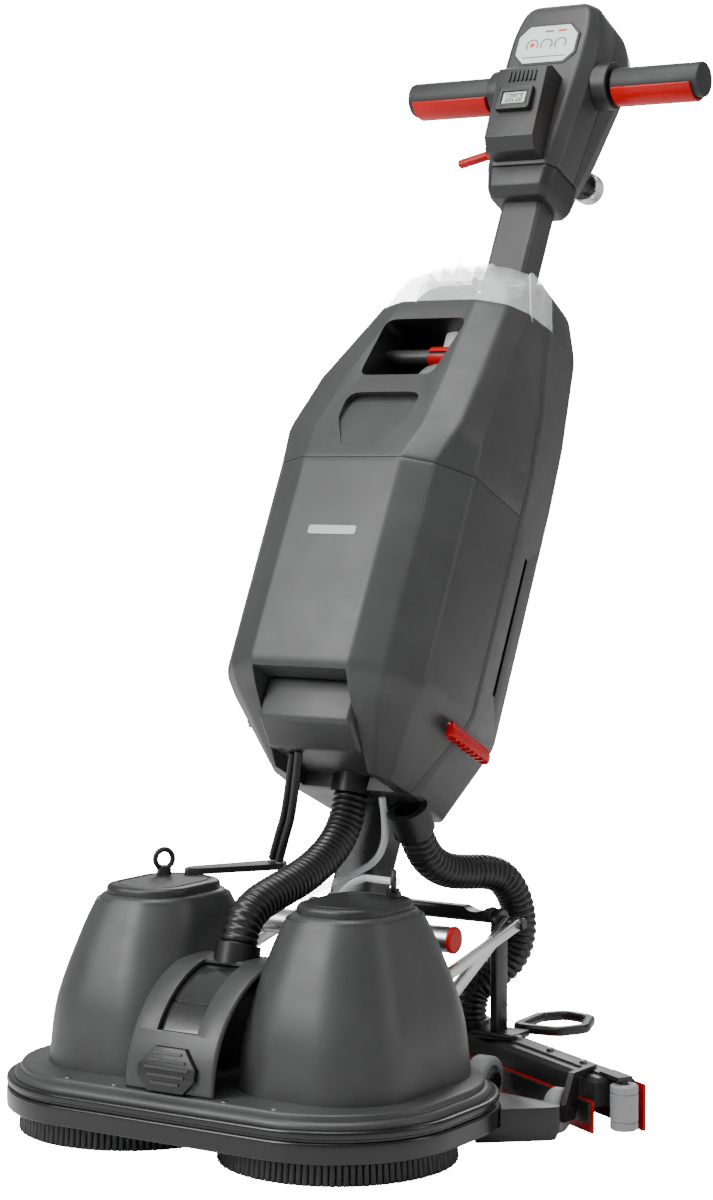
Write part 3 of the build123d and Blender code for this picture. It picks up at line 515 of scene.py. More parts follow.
def stage_floor():
    bpy.ops.object.select_all(action="DESELECT")
    bpy.ops.mesh.primitive_plane_add(size=24, location=(0, 0, -0.0004))
    floor = bpy.context.object
    floor.name = "studio_floor"
    finish = Finish("pale floor")
    tone = finish.mix(finish.noise(2, 3), (0.86, 0.86, 0.86), (0.90, 0.90, 0.90))
    seen = finish.node("ShaderNodeLightPath", {}, {})
    glow = finish.mix(seen, (0, 0, 0), (1, 1, 1))
    paint = finish.paint(Base_Color=tone, Roughness=0.8, Emission_Color=glow)
    finish.shader.inputs["Emission Strength"].default_value = white
    floor.data.materials.append(paint)


def lamp(name, where, aim, size, power, height=None):
    bpy.ops.object.light_add(type="AREA", location=where)
    light = bpy.context.object
    light.name = name
    light.data.energy, light.data.shape = power, "RECTANGLE"
    light.data.size, light.data.size_y = size, height or size
    light.rotation_euler = (Vector(aim) - Vector(where)).to_track_quat("-Z", "Y").to_euler()


stage_floor()
lamp("key", (-1.7, -3.0, 2.6), (0, 0, 0.6), 1.6, 150, 2.4)
lamp("side", (3.0, 0.9, 1.5), (0, 0.1, 0.5), 0.5, 14, 2.2)
lamp("top", (-0.2, -0.6, 3.4), (0, 0, 0.5), 2.0, 85)
lamp("rim", (-1.4, 3.0, 2.2), (0, 0.1, 0.6), 1.6, 50)
world = bpy.data.worlds.new("pale room")
world.use_nodes = True
sky = world.node_tree.nodes["Background"]
bright = world.node_tree.nodes.new("ShaderNodeBackground")
for background, strength in ((sky, fill_light), (bright, white)):
    background.inputs["Color"].default_value = (1, 1, 1, 1)
    background.inputs["Strength"].default_value = strength
seen = world.node_tree.nodes.new("ShaderNodeLightPath")
either = world.node_tree.nodes.new("ShaderNodeMixShader")
joinings = ((seen.outputs["Is Camera Ray"], either.inputs[0]), (sky.outputs[0], either.inputs[1]),
            (bright.outputs[0], either.inputs[2]),
            (either.outputs[0], world.node_tree.nodes["World Output"].inputs["Surface"]))
for out, into in joinings:
    world.node_tree.links.new(out, into)
bpy.context.scene.world = world
print("lamps set")

# %% [markdown]
# The tank body is one long faceted form, cut into four mouldings: the lower tank, the upper
# tank, the rear housing and the clear lid. One skin gives the whole form; each moulding is a
# copy of it, sliced at its seams, so that the outside runs on without a step.

# %% The whole body form
body_sections = [
    (200, [(44, -120), (58, -112), (66, -96), (70, -50), (64, 18), (54, 27)]),
    (258, [(50, -182), (80, -170), (101, -143), (105, -55), (90, 22), (78, 29)]),
    (278, [(55, -197.5), (86, -183), (113, -150), (116, -55), (98, 24), (86, 29.5)]),
    (490, [(55, -197.5), (86, -183), (114, -150), (117, -55), (98, 24), (86, 29.5)]),
    (530, [(62, -184), (98, -176), (112, -150), (117, -55), (98, 24), (86, 29.5)]),
    (600, [(58, -160), (92, -152), (106, -132), (112, -55), (96, 24), (84, 29.5)]),
    (700, [(42, -121), (74, -107), (88, -86), (94, -52), (90, 18), (74, 29)]),
    (740, [(34, -108), (62, -96), (76, -78), (84, -50), (80, 4), (62, 18)]),
    (757, [(26, -88), (48, -80), (60, -68), (68, -50), (62, -8), (46, 2)]),
]
seam_low, seam_lid, split, seam = 490, 700, -62, 0.25
edge_rounds = ((278, 8), (490, 7), (258, 4), (530, 10), (700, 9), (740, 6))   # height, width


def body_form(name, slices):
    form = skin(name, [(v, around(half, 15)) for v, half in body_sections])
    for height, width in edge_rounds:
        soften(form, width, lambda e: level(e) and abs(e.verts[0].co.z - height) < 0.1
               and sharp(e, 4), 4)
    for point, normal in slices:
        slice_off(form, point, normal)
    return form


def rim(edge):
    """True for the sharp edges that slicing leaves."""
    return sharp(edge, 50)


# %% [markdown]
# The lower tank stops at the seam and leaves room at the bottom front for the power box. Its cut
# edges are eased a little, so that the seam catches a thin line of light.

# %% Lower tank
lower = body_form("lower_tank_shell", [((0, split - seam, 0), (0, 1, 0)),
                                       ((0, 0, seam_low - 0.3), (0, 0, 1))])
cut(lower, block("room", (-52.5, 52.5), (-300, 0), (150, 273.5)))
soften(lower, 1.3, rim, 2)
settle(lower, on_column, grey_shell, "column", ["solution_tank"], "shell_grey")

# %% [markdown]
# The upper tank has the carrying opening and, below it, a shallow scoop whose floor runs out to
# nothing at its lower end. Both are cut with blocks that have rounded corners. The inside faces of
# the opening are painted black, as painted shade.

# %% Upper tank with its opening and scoop
upper = body_form("upper_tank_shell", [((0, split - seam, 0), (0, 1, 0)),
                                       ((0, 0, seam_low + 0.3), (0, 0, -1)),
                                       ((0, 0, seam_lid - 0.2), (0, 0, 1))])
pocket = slab("pocket", rounded([(-42, 596), (42, 596), (47, 674), (-47, 674)], 11), -220, -72)
cut(upper, pocket)
scoop = slab("scoop", rounded([(-43, 573), (43, 573), (39, 540), (17, 501), (-17, 501),
                               (-39, 540)], 14), -230, -140)
slice_off(scoop, (0, -194, 501), Vector((0, 72, -33)).normalized())
cut(upper, scoop)
soften(upper, 2.6, lambda e: sharp(e, 40) and all(
    abs(v.co.x) < 52 and 590 < v.co.z < 680 and v.co.y < -118 for v in e.verts), 3)
soften(upper, 1.2, lambda e: sharp(e, 30) and not all(
    abs(v.co.x) < 52 and 480 < v.co.z < 690 for v in e.verts), 2)
settle(upper, on_column, grey_shell, "column", ["recovery_tank"], "shell_grey")
back_to_drawing = on_column.inverted()


# Faces deep inside the carrying opening: these get painted shade.
def pocket_shade_face(centre, normal):
    x, w, v = back_to_drawing @ centre
    face_w = -197.5 + (v - 490) * 0.359
    return abs(x) < 48 and 594 < v < 676 and w > face_w + 9


# The pocket's inside faces are painted black as painted shade.
also(upper, block_black, pocket_shade_face)

# %% [markdown]
# Inside the pocket a rounded grey form, the filter housing, fills the lower right. The carrying
# bar crosses above it, with a red catch that has a groove along its front.

# %% Filter housing in the pocket
housing = drum("pocket_filter_housing", 27, -118, -74, "Y", (16, 606), 40)
soften(housing, 7, crisp, 4)
slice_off(housing, (0, 0, 597), (0, 0, -1))
settle(housing, on_column, moulded("pocket grey", (0.13, 0.135, 0.135), 0.35), "column",
       slot="shell_grey")
bar = drum("carry_bar_shell", 8, -47, 47, "X", (-112, 640), 32)
soften(bar, 1.5, crisp, 2)
settle(bar, on_column, dark_shell, "column", ["carry_bar"], "shell_dark")
catch = drum("carry_catch_shell", 10.5, 4, 34, "X", (-112, 640), 36)
pick(catch, lambda f: abs(f.normal.x) > 0.9)
bpy.ops.mesh.inset(thickness=1.6, depth=0)
bpy.ops.object.mode_set(mode="OBJECT")
soften(catch, 1.6, crisp, 3)
cut(catch, block("groove", (0, 40), (-126, -114), (638, 642)))
settle(catch, on_column, red_gloss, "column", ["carry_catch"], "red_plastic")

# %% [markdown]
# The rear housing runs the full height behind the tanks and lets the column through its roof. A
# long slot on each rear corner is the grip for lifting the body; its inside faces are painted
# black as painted shade.

# %% Rear housing
rear = body_form("rear_housing_shell", [((0, split + seam, 0), (0, -1, 0))])
cut(rear, block("lid_room", (-200, 200), (-100, -44), (seam_lid, 800)))
cut(rear, block("column_room", (-24.5, 24.5), (-19.5, 19.5), (100, 900)))
cut(rear, block("tab_room", (-14, 14), (-46, -10), (742, 800)))
for side in (-1, 1):
    cut(rear, block("slot", sorted((side * 97, side * 125)), (-21, -13), (319, 464)))
soften(rear, 1.4, rim, 2)
settle(rear, on_column, grey_shell, "column", ["rear_housing"], "shell_dark")


# Faces inside the grip slots: these get painted shade.
def slot_shade_face(centre, normal):
    x, w, v = back_to_drawing @ centre
    return (96 < abs(x) < 108.5 and -21.2 < w < -12.8 and 318 < v < 465
            and abs(normal.x) < 0.99) or (96 < abs(x) < 98 and 318 < v < 465)


# The slot walls and floors are painted black as painted shade.
also(rear, block_black, slot_shade_face)

# %% [markdown]
# The power box hangs under the lower tank at the front: a plain box whose bottom corner is cut
# away, with soft edges all round.

# %% Power box
box = block("power_box_shell", (-52, 52), (-166, -63), (212, 273))
slice_off(box, (0, -166, 232), Vector((0, -16, -22)).normalized())
soften(box, 5, sharp, 4)
settle(box, on_column, grey_shell, "column", ["power_box"], "shell_dark")

# %% [markdown]
# The lid is clear plastic a few millimetres thick: the same form again, hollowed with Solidify,
# open below. Ribs across its top and a tab at the back stiffen it.

# %% Clear lid
lid = body_form("clear_lid_shell", [((0, -47, 0), (0, 1, 0)),
                                    ((0, 0, seam_lid + 0.4), (0, 0, -1))])
pick(lid, lambda f: f.normal.z < -0.9 and f.calc_center_median().z < 702
     or f.normal.y > 0.9 and f.calc_center_median().y > -48)
bpy.ops.mesh.delete(type="FACE")
bpy.ops.object.mode_set(mode="OBJECT")
only(lid)
wall = lid.modifiers.new("wall", "SOLIDIFY")
wall.thickness, wall.offset = 2.4, -1
bpy.ops.object.modifier_apply(modifier="wall")
tab = block("tab", (-12, 12), (-56, -47.5), (755, 778))
soften(tab, 3, sharp, 3)
ribs = [block("rib", (x - 0.8, x + 0.8), (-104 + abs(x) * 0.35, -50), (736, 755 - abs(x) * 0.15))
        for x in (-40, -20, 0, 20, 40)]
ribs.append(block("rib", (-62, 62), (-70, -68.6), (728, 750)))
lid = join([lid, tab] + ribs, "clear_lid_shell")
settle(lid, on_column, clear_lid, "lid", ["tank_lid"], "clear_lid")

# %% [markdown]
# On the right of the lid a clear strap holds it down, with a small red bolt behind it. The strap
# is a thin plate bent over the seam.

# %% Lid strap
strap = block("lid_strap", (84.5, 86.5), (-84, -50), (690, 752))
soften(strap, 6, lambda e: sharp(e) and abs(e.verts[0].co.x - e.verts[1].co.x) > 1, 3)
strap.data.transform(Matrix.Translation((84.5, 0, seam_lid))
                     @ Matrix.Rotation(math.radians(-15), 4, "Y")
                     @ Matrix.Translation((-82.5, 0, -seam_lid)))
settle(strap, on_column, clear_tube, "lid", slot="clear_lid")
bolt = block("lid_strap_bolt", (75, 79), (-70, -62), (712, 738))
soften(bolt, 1.5, sharp, 3)
settle(bolt, on_column, red_gloss, "lid", slot="red_plastic")

# %% [markdown]
# A red lever on each side of the lower tank turns on a pin along its upper edge. The ribs along
# it give the fingers a grip.

# %% Side latches
def latch(name):
    lever = block(name, (109, 119), (-90, -14), (250, 260))
    soften(lever, 2.5, sharp, 3)
    hinge = drum("hinge", 4, -90, -14, "Y", (112, 262), 24)
    grips = [block("rib", (111, 119.3), (y, y + 3), (248.5, 251)) for y in range(-84, -20, 9)]
    return join([lever, hinge] + grips, name)


right_latch = latch("latch_right_lever")
left_latch = copy_of(right_latch, "latch_left_lever", across)
settle(right_latch, on_column, red_gloss, "latch_right", ["tank_latch_right"], "red_plastic")
settle(left_latch, on_column, red_gloss, "latch_left", ["tank_latch_left"], "red_plastic")

# %% [markdown]
# The deck's outline is a long oval with two big front corners and two big rear corners. Every
# ring of the deck is this outline drawn a little smaller, so the skirt, its groove and the step
# above it are one stack of rings.

# %% Skirt band and deck top
def deck_line(inset):
    half, front, rear = 232 - inset, -119 + inset, 170 - inset
    points = []
    for x, y, radius, start in ((half, rear, 120, 0), (-half, rear, 120, 90),
                                (-half, front, 119, 180), (half, front, 119, 270)):
        radius -= inset
        cx = x - math.copysign(radius, x)
        cy = y - math.copysign(radius, y - 25)
        for step in range(17):
            a = math.radians(start + 90 * step / 16)
            points.append((cx + radius * math.cos(a), cy + radius * math.sin(a)))
    return points


def stack(name, rows, line):
    """Rings of one outline function, given as (height, inset)."""
    return skin(name, [(height, line(inset)) for height, inset in rows])


band = stack("skirt_band", [(21.5, 6), (21.5, 1.5), (22.6, 0.3), (24, 0), (38, 0), (39.6, 0.4),
                            (40.4, 1.6), (40.6, 3.2), (42.6, 3.2), (42.9, 1.8), (43.8, 0.5),
                            (45.6, 0), (48.4, 0.1), (49.8, 0.7), (50.5, 2), (50.5, 6)],
             deck_line)
settle(band, on_deck, lip_black, "deck", ["bumper_band"], "deck_black", smooth=60)
top = stack("deck_top", [(45, 7), (50.2, 7), (52.6, 7.6), (54.6, 8.8), (56, 11), (56.4, 13.4),
                         (60, 13.8), (61.4, 14.6), (62, 16.4)], deck_line)
settle(top, on_deck, grey_shell, "deck", ["deck_plate"], "shell_grey", smooth=50)
screw_y = -99.2
for x in (-113, 113, -60, 60):
    screw = drum("ledge_screw", 3.2, 61.2, 62.6, "Z", (x, screw_y), 20)
    cut(screw, block("slot", (x - 0.5, x + 0.5), (screw_y - 2.4, screw_y + 2.4), (62.1, 63)))
    settle(screw, on_deck, steel, "deck")

# %% [markdown]
# A motor dome narrows towards its top with a gentle curve. Rings at many heights follow the
# curve, and the last few turn over into a flat top with a round shoulder.

# %% Motor domes
dome_x, dome_y, ledge_z, dome_top_z = 107, 38, 62, 216
dome_rows = [(0, 86, 110, 68), (58, 80, 102, 64), (118, 63, 80, 52), (154, 50, 62, 42)]


def bend_between(t, values):
    """A smooth curve through evenly numbered values."""
    i = min(int(t), len(values) - 2)
    f = t - i
    a, b = values[i], values[i + 1]
    before = values[i - 1] if i else 2 * a - b
    after = values[i + 2] if i + 2 < len(values) else 2 * b - a
    return (a + 0.5 * f * (b - before + f * (2 * before - 5 * a + 4 * b - after
            + f * (3 * (a - b) + after - before))))


def dome_ring(t, shrink=0.0):
    height, half_x, half_y, corner = [bend_between(t, list(v)) for v in zip(*dome_rows)]
    outline = oval(dome_x, dome_y, half_x - shrink, half_y - shrink, corner - shrink)
    return ledge_z + height, outline


rings = [dome_ring(3 * i / 21) for i in range(21)]
for lift, shrink in ((-5.5, 0.2), (-3.4, 1.0), (-1.4, 2.8), (-0.3, 5.2), (0, 8)):
    rings.append((dome_top_z + lift, dome_ring(3, shrink)[1]))
right_dome = skin("motor_dome_right", rings)
solid_right = copy_of(right_dome, "solid_dome")
solid_left = copy_of(right_dome, "solid_dome", across)
pick(right_dome, lambda f: f.normal.z < -0.9 and f.calc_center_median().z < 62.1)
bpy.ops.mesh.delete(type="FACE")
bpy.ops.object.mode_set(mode="OBJECT")
both_sides(right_dome, "motor_dome", on_deck, grey_shell, "deck", ["motor_domes"], "shell_grey",
           smooth=60)

# %% [markdown]
# Each dome wears a dark cap with a rounded edge and a shallow groove round it. A cable gland and a
# lifting hoop stand at its outer rear. The left cap also carries a short arm with the round pad
# where the two motor cables end.

# %% Dome caps, hoops and cable arm
def cap_line(inset):
    return oval(dome_x, dome_y, 43 - inset, 55 - inset, 35 - inset)


cap = stack("dome_cap_right", [(216, 0), (220, 0), (222, 0.8), (223.4, 2.4), (224, 4.6), (224, 9),
                               (223.2, 9.6), (223.2, 11.4), (224, 12), (224, 20)], cap_line)
gland_at = (129, 68)
gland = drum("gland", 7, 224, 230, "Z", gland_at, 6)
nut = drum("nut", 5.6, 230, 232.5, "Z", gland_at, 32)
bpy.ops.mesh.primitive_torus_add(major_radius=9, minor_radius=2.6, major_segments=40,
                                 minor_segments=16, location=(*gland_at, 239),
                                 rotation=(0, math.radians(90), math.radians(30)))
hoop = bpy.context.object
hoop.data.transform(hoop.matrix_world)
hoop.matrix_world = Matrix.Identity(4)
right_cap = join([cap, gland, nut], "dome_cap_right")
left_cap = copy_of(right_cap, "dome_cap_left", across)
both_sides(hoop, "tube_hoop", on_deck, cable_black, "deck", ["dome_caps"])
settle(right_cap, on_deck, dark_shell, "deck", ["dome_caps"], "shell_dark", smooth=40)
arm_line = rounded([(-113.5, 76.5), (-99, 85), (-50, 152), (-57, 173), (-72, 174),
                    (-118, 92)], 12, 6)
arm_top = [(x * 0.985 - 1.2, y * 0.985 + 1.8) for x, y in arm_line]
arm = skin("cable_arm", [(224.1, arm_line), (229, arm_line), (230, arm_top)])
left_cap = join([left_cap, arm], "dome_cap_left")
settle(left_cap, on_deck, dark_shell, "deck", ["dome_caps"], "shell_dark", smooth=40)

# %% [markdown]
# The arched cover is a slice of a barrel that lies between the domes. Its window shows a smooth
# dark drum with three fine lines, and an eight-sided plate closes its lower front.

# %% Arched cover
barrel_y = 5


def barrel_point(radius, degrees):
    """A point round the barrel's middle line, by its angle up from straight ahead."""
    a = math.radians(degrees)
    return barrel_y - radius * math.cos(a), ledge_z + radius * math.sin(a)


def barrel_arc(radius, low, high, sides=64):
    return [barrel_point(radius, low + (high - low) * step / sides) for step in range(sides + 1)]


def outside_barrel(edge, radius):
    return all(math.hypot(v.co.y - barrel_y, v.co.z - ledge_z) > radius for v in edge.verts)


def arch_piece(name, outline, half_width):
    """A side outline of (depth, height) given width."""
    piece = skin(name, [(-half_width, outline), (half_width, outline)])
    piece.data.transform(from_side)
    return piece


arch = arch_piece("arch_shell", barrel_arc(106, 0, 145) + barrel_arc(102.6, 145, 0), 48)
soften(arch, 3, lambda e: crisp(e) and outside_barrel(e, 105) and abs(e.verts[0].co.x) > 47, 3)
window = skin("window", [(114, rounded([(-22, -150), (22, -150), (22, -20), (-22, -20)], 4)),
                         (202, rounded([(-22, -150), (22, -150), (22, -8), (-22, -8)], 4))])
cut(arch, window)
cut(arch, drum("socket_room", 17, 100, 220, "Z", (0, 8), 40))
cut(arch, solid_right)
cut(arch, solid_left)
soften(arch, 1.2, lambda e: sharp(e, 50) and all(
    abs(v.co.x) < 23 and v.co.z > 112 for v in e.verts), 2)
settle(arch, on_deck, grey_shell, "deck", ["arch_cover"], "shell_grey", smooth=40)

# %% Window drum
drum_line = [barrel_point(99.6 if step % 30 == 0 else 100.8, 14 + 100 * step / 90)
             for step in range(91)]
lined = arch_piece("window_drum_shell", drum_line + barrel_arc(94, 114, 14, 9), 26)
settle(lined, on_deck, drum_grey, "deck", ["window_drum"], smooth=25)

# %% Badge plate
badge_line = [(-31, 76), (-19, 64), (19, 64), (31, 76), (31, 86), (17, 102), (-17, 102),
              (-31, 86)]
plate = slab("badge_plate", badge_line, -125, -60)
barrel_middle = [(barrel_y, ledge_z)]
cut(plate, arch_piece("ring", barrel_arc(111, -5, 60) + barrel_middle, 60), "INTERSECT")
cut(plate, arch_piece("core", barrel_arc(106.1, -15, 75) + barrel_middle, 60))
soften(plate, 1.6, lambda e: rim(e) and outside_barrel(e, 110), 3)
settle(plate, on_deck, block_black, "deck", ["grille_badge"], "shell_dark", smooth=25)
bars = []
for number, half in enumerate((15, 20, 24, 20, 15)):
    bar_line = [barrel_point(radius, start + 3.4 * number)
                for radius, start in ((110, 4.2), (112.2, 4.4), (112.2, 5.6), (110, 5.8))]
    bars.append(arch_piece("bar", bar_line, half))
settle(join(bars, "badge_bars"), on_deck, grey_shell, "deck")

# %% [markdown]
# The hoses are corrugated. Points read from a smooth curve through the route carry rings of
# alternating size, which make the folds. The front hose and the cables cross the tilt joint
# between the deck and the column.

# %% Reading a smooth route
def smooth_route(points, spacing):
    """Evenly spaced points, in millimetres, along a smooth curve through a route."""
    curve = bpy.data.curves.new("route", "CURVE")
    curve.dimensions, curve.resolution_u = "3D", 40
    spline = curve.splines.new("NURBS")
    spline.points.add(len(points) - 1)
    for point, place in zip(spline.points, points):
        point.co = (*place, 1)
    spline.order_u, spline.use_endpoint_u = 3, True
    holder = bpy.data.objects.new("route", curve)
    mesh = bpy.data.meshes.new_from_object(holder)
    line = [v.co.copy() for v in mesh.vertices]
    bpy.data.objects.remove(holder)
    lengths = [0.0]
    for a, b in zip(line, line[1:]):
        lengths.append(lengths[-1] + (b - a).length)
    count = max(2, round(lengths[-1] / spacing))
    even, at = [], 0
    for step in range(count + 1):
        want = lengths[-1] * step / count
        while at < len(line) - 2 and lengths[at + 1] < want:
            at += 1
        share = (want - lengths[at]) / max(lengths[at + 1] - lengths[at], 1e-9)
        even.append(line[at].lerp(line[at + 1], share))
    return even


def from_form(name, form):
    """A new piece made from a bmesh form, which is used up."""
    mesh = bpy.data.meshes.new(name)
    form.to_mesh(mesh)
    form.free()
    piece = bpy.data.objects.new(name, mesh)
    bpy.context.collection.objects.link(piece)
    return piece


def tube(name, line, radius_at, sides=28):
    """A closed tube along a line, with its radius given by the number of each point."""
    form, side, rings = bmesh.new(), None, []
    for i, here in enumerate(line):
        ahead = (line[min(i + 1, len(line) - 1)] - line[max(i - 1, 0)]).normalized()
        side = ahead.orthogonal() if side is None else side - ahead * side.dot(ahead)
        side.normalize()
        up = ahead.cross(side)
        ring = []
        for k in range(sides):
            a = 2 * math.pi * k / sides
            out = side * math.cos(a) + up * math.sin(a)
            ring.append(form.verts.new(here + radius_at(i) * out))
        rings.append(ring)
    for low, high in zip(rings, rings[1:]):
        for k in range(sides):
            form.faces.new((low[k], low[(k + 1) % sides], high[(k + 1) % sides], high[k]))
    form.faces.new(rings[0][::-1])
    form.faces.new(rings[-1])
    return from_form(name, form)


def fold(point):
    """The hose's radius at one of its points: each fold takes six."""
    depth = (1.7, 0.935, 0.2, 0, 0.2, 0.935)[point % 6]
    return 17.3 - depth


def folded_hose(name, node, route):
    hose = tube(name, smooth_route(route, 1.1), fold)
    return settle(hose, on_deck, hose_black, None, [node], "hose_black", smooth=60)


def thin_line(name, node, route, radius, paint, slot=None):
    line = tube(name, smooth_route(route, 3), lambda i: radius, 16)
    return settle(line, on_deck, paint, None, [node], slot, smooth=60)


# %% Front hose
front_route = [
    (0, 197, 296), (0, 190, 274), (0, 172, 252), (0, 142, 236), (0, 106, 225), (0, 68, 218),
    (0, 36, 211), (0, 14, 198), (0, 8, 178)]
front = folded_hose("front_hose_folds", "front_hose", front_route)
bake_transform(front)

# %% Cables and water tube
for number, route in enumerate((
        [(-21.2, 138.2, 342.2), (-37, 152, 282), (-47, 153, 256), (-56, 156, 231.8)],
        [(-31.3, 142.7, 339.6), (-50, 159, 281), (-61, 162, 257), (-70, 164, 231.9)])):
    cable = thin_line(f"motor_cable_{number}", "motor_cables", route, 4, cable_black,
                      "cable_black")
    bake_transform(cable)
water_route = [
    (32, 202, 294.5), (34, 208, 262), (31, 200, 236), (17, 184, 223), (-6, 172, 212),
    (-25, 164, 203), (-27, 151, 198), (-8, 140, 196), (16, 128, 196), (38, 114, 208),
    (60, 101, 226), (84, 90, 236), (106, 70, 239), (120, 68, 239), (134, 68, 239)]
water = thin_line("water_tube_clear", "water_tube", water_route, 3.5, clear_tube)
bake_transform(water)

# %% [markdown]
# The rear hose is one corrugated hose in two lengths that meet behind the column: the upper one
# spans the column's tilt joint, and the lower one the squeegee's lift.

# %% Rear hose
upper_route = [(58, 220, 262), (59, 231, 242), (62, 250, 225), (67, 278, 215), (74, 305, 213)]
lower_route = [
    (74, 305, 213), (81, 332, 211), (88, 352, 195), (92, 363, 170), (92, 366, 142), (84, 362, 118),
    (68, 350, 102), (50, 338.6, 88), (50, 338.6, 60)]
upper_hose = folded_hose("rear_hose_upper_folds", "rear_hose_top", upper_route)
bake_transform(upper_hose)
lower_hose = folded_hose("rear_hose_lower_folds", "rear_hose_bottom", lower_route)
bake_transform(lower_hose)

# %% [markdown]
# Under each dome turns a scrubbing brush. Its bristles stand in four rings of small tufts, each
# wider at the floor and leaning a little.

# %% Bristle tufts
def bristles(name, body, node, centre):
    form = bmesh.new()
    for ring, (radius, count) in enumerate(((60, 48), (76, 64), (91, 84), (104, 112))):
        for k in range(count):
            a = 2 * math.pi * (k + 0.5 * (ring % 2)) / count
            out = Vector((math.cos(a), math.sin(a), 0))
            tuft = bmesh.ops.create_cone(form, segments=6, radius1=3.5, radius2=2.3, depth=30,
                                         cap_ends=True)["verts"]
            lean = Matrix.Rotation(math.radians(-4 if k % 2 else -1), 4, "Y")
            place = Matrix.Translation(centre + out * radius) @ Matrix.Rotation(a, 4, "Z") @ lean
            bmesh.ops.transform(form, matrix=place, verts=tuft)
    for vertex in form.verts:
        vertex.co.z = max(vertex.co.z, 0.1)
    settle(from_form(name, form), on_deck, bristle_grey, body, [node], smooth=60)


for side, x in (("right", 113), ("left", -113)):
    bristles(f"brush_tufts_{side}", f"brush_{side}", f"bristles_{side}", Vector((x, 0, 15.3)))

# %% [markdown]
# The handle head is a faceted shell in two halves, with every upright corner rounded and its
# shoulders softened. Seen from the front, the top carries a pale eight-sided label in a thin dark
# frame. The label shows only plain arcs and bars.

# %% Head shell
head_sections = [
    (904, [(33, -41), (43, -30), (44, 14), (35, 34)]),
    (945, [(38, -43), (48, -30), (48, 22), (38, 48)]),
    (1018, [(44, -43), (55, -28), (55, 34), (42, 62)]),
    (1070, [(44, -41), (54, -26), (54, 42), (40, 78)]),
    (1100, [(36, -38), (46, -26), (46, 34), (36, 72)]),
    (1110, [(24, -26), (32, -18), (32, 24), (24, 52)]),
]
grip_at = (-4, 1016.7)


def head_form(name, depth, forwards):
    form = skin(name, [(v, around(half, 9)) for v, half in head_sections])
    for height, width in ((1110, 5), (1100, 9), (1070, 14), (1018, 12), (945, 8)):
        soften(form, width, lambda e: level(e) and abs(e.verts[0].co.z - height) < 0.1
               and sharp(e, 3), 5)
    slice_off(form, (0, depth, 0), (0, 1 if forwards else -1, 0))
    soften(form, 0.9, rim, 2)
    for side in (-1, 1):
        room = sorted((side * 51.5, side * 80))
        cut(form, drum("grip_room", 25.2, *room, "X", grip_at, 48))
    return form


front_half = head_form("head_front_shell", 5.75, True)
settle(front_half, on_column, grey_shell, "column", ["head_front"], "shell_grey", smooth=40)
rear_half = head_form("head_rear_shell", 6.25, False)
neck = drum("knob_neck", 8, -4, 25, "Z", (0, 0), 40)
neck.data.transform(Matrix.Translation((20, 40, 930)) @ Matrix.Rotation(math.radians(-74), 4, "X"))
rear_half = join([rear_half, neck], "head_rear_shell")
settle(rear_half, on_column, grey_shell, "column", ["head_rear"], "shell_grey", smooth=40)

# %% Head collar
collar = skin("head_collar_shell", [(v, around(half, 7)) for v, half in (
    (872, [(28, -30), (33, -24), (33, 20), (27, 26)]),
    (882, [(31, -38), (37, -30), (37, 24), (31, 31)]),
    (903.5, [(33, -41), (42, -30), (43, 14), (35, 33)]))])
soften(collar, 2, lambda e: level(e) and sharp(e, 8), 3)
settle(collar, on_column, dark_shell, "column", ["head_collar"], "shell_dark", smooth=40)

# %% [markdown]
# The label lies on the head's upper front face, half a millimetre proud. Its face is white card
# with thin grey arcs, a slider line and two small bars.

# %% Head label
label_line = rounded([(-24, 1027), (24, 1027), (35, 1038), (35, 1060), (24, 1072), (-24, 1072),
                      (-35, 1060), (-35, 1038)], 3)
frame_line = rounded([(-26, 1024.4), (26, 1024.4), (37.6, 1036.6), (37.6, 1061.4), (26, 1074.6),
                      (-26, 1074.6), (-37.6, 1061.4), (-37.6, 1036.6)], 4)
frame = slab("label_frame", frame_line, -43.5, -40)
frame.data.transform(Matrix.Translation((0, 0.2, 0)))
settle(frame, on_column, dark_shell, "column", slot="shell_dark")
label = slab("label_card", label_line, -43.9, -41)
settle(label, on_column, white_plastic, "column")


def mark(name, outline, paint, near=-44.1, far=-43):
    piece = slab(name, outline, near, far)
    settle(piece, on_column, paint, "column")
    return piece


def arc_line(cx, cz, inner, outer, start, end, steps=24):
    line = []
    for radius, order in ((outer, range(steps + 1)), (inner, range(steps, -1, -1))):
        for step in order:
            a = math.radians(start + (end - start) * step / steps)
            line.append((cx + radius * math.cos(a), cz + radius * math.sin(a)))
    return line


print_grey = moulded("printed grey", (0.16, 0.165, 0.17), 0.5)
print_red = moulded("printed red", (0.62, 0.03, 0.025), 0.45)
for number, cx in enumerate((-17, 0, 17)):
    mark(f"label_arc_{number}", arc_line(cx, 1049, 5.8, 7.4, -40, 220), print_grey)
mark("label_dot", arc_line(-17, 1049, 0.01, 2.6, 0, 359), print_red)
mark("label_line", [(-26, 1033.2), (26, 1033.2), (26, 1034.4), (-26, 1034.4)], print_grey)
mark("label_bar_a", [(-5, 1064), (5, 1064), (5, 1066.4), (-5, 1066.4)], print_grey)
mark("label_bar_b", [(11, 1064), (21, 1064), (21, 1066.4), (11, 1066.4)], print_red)
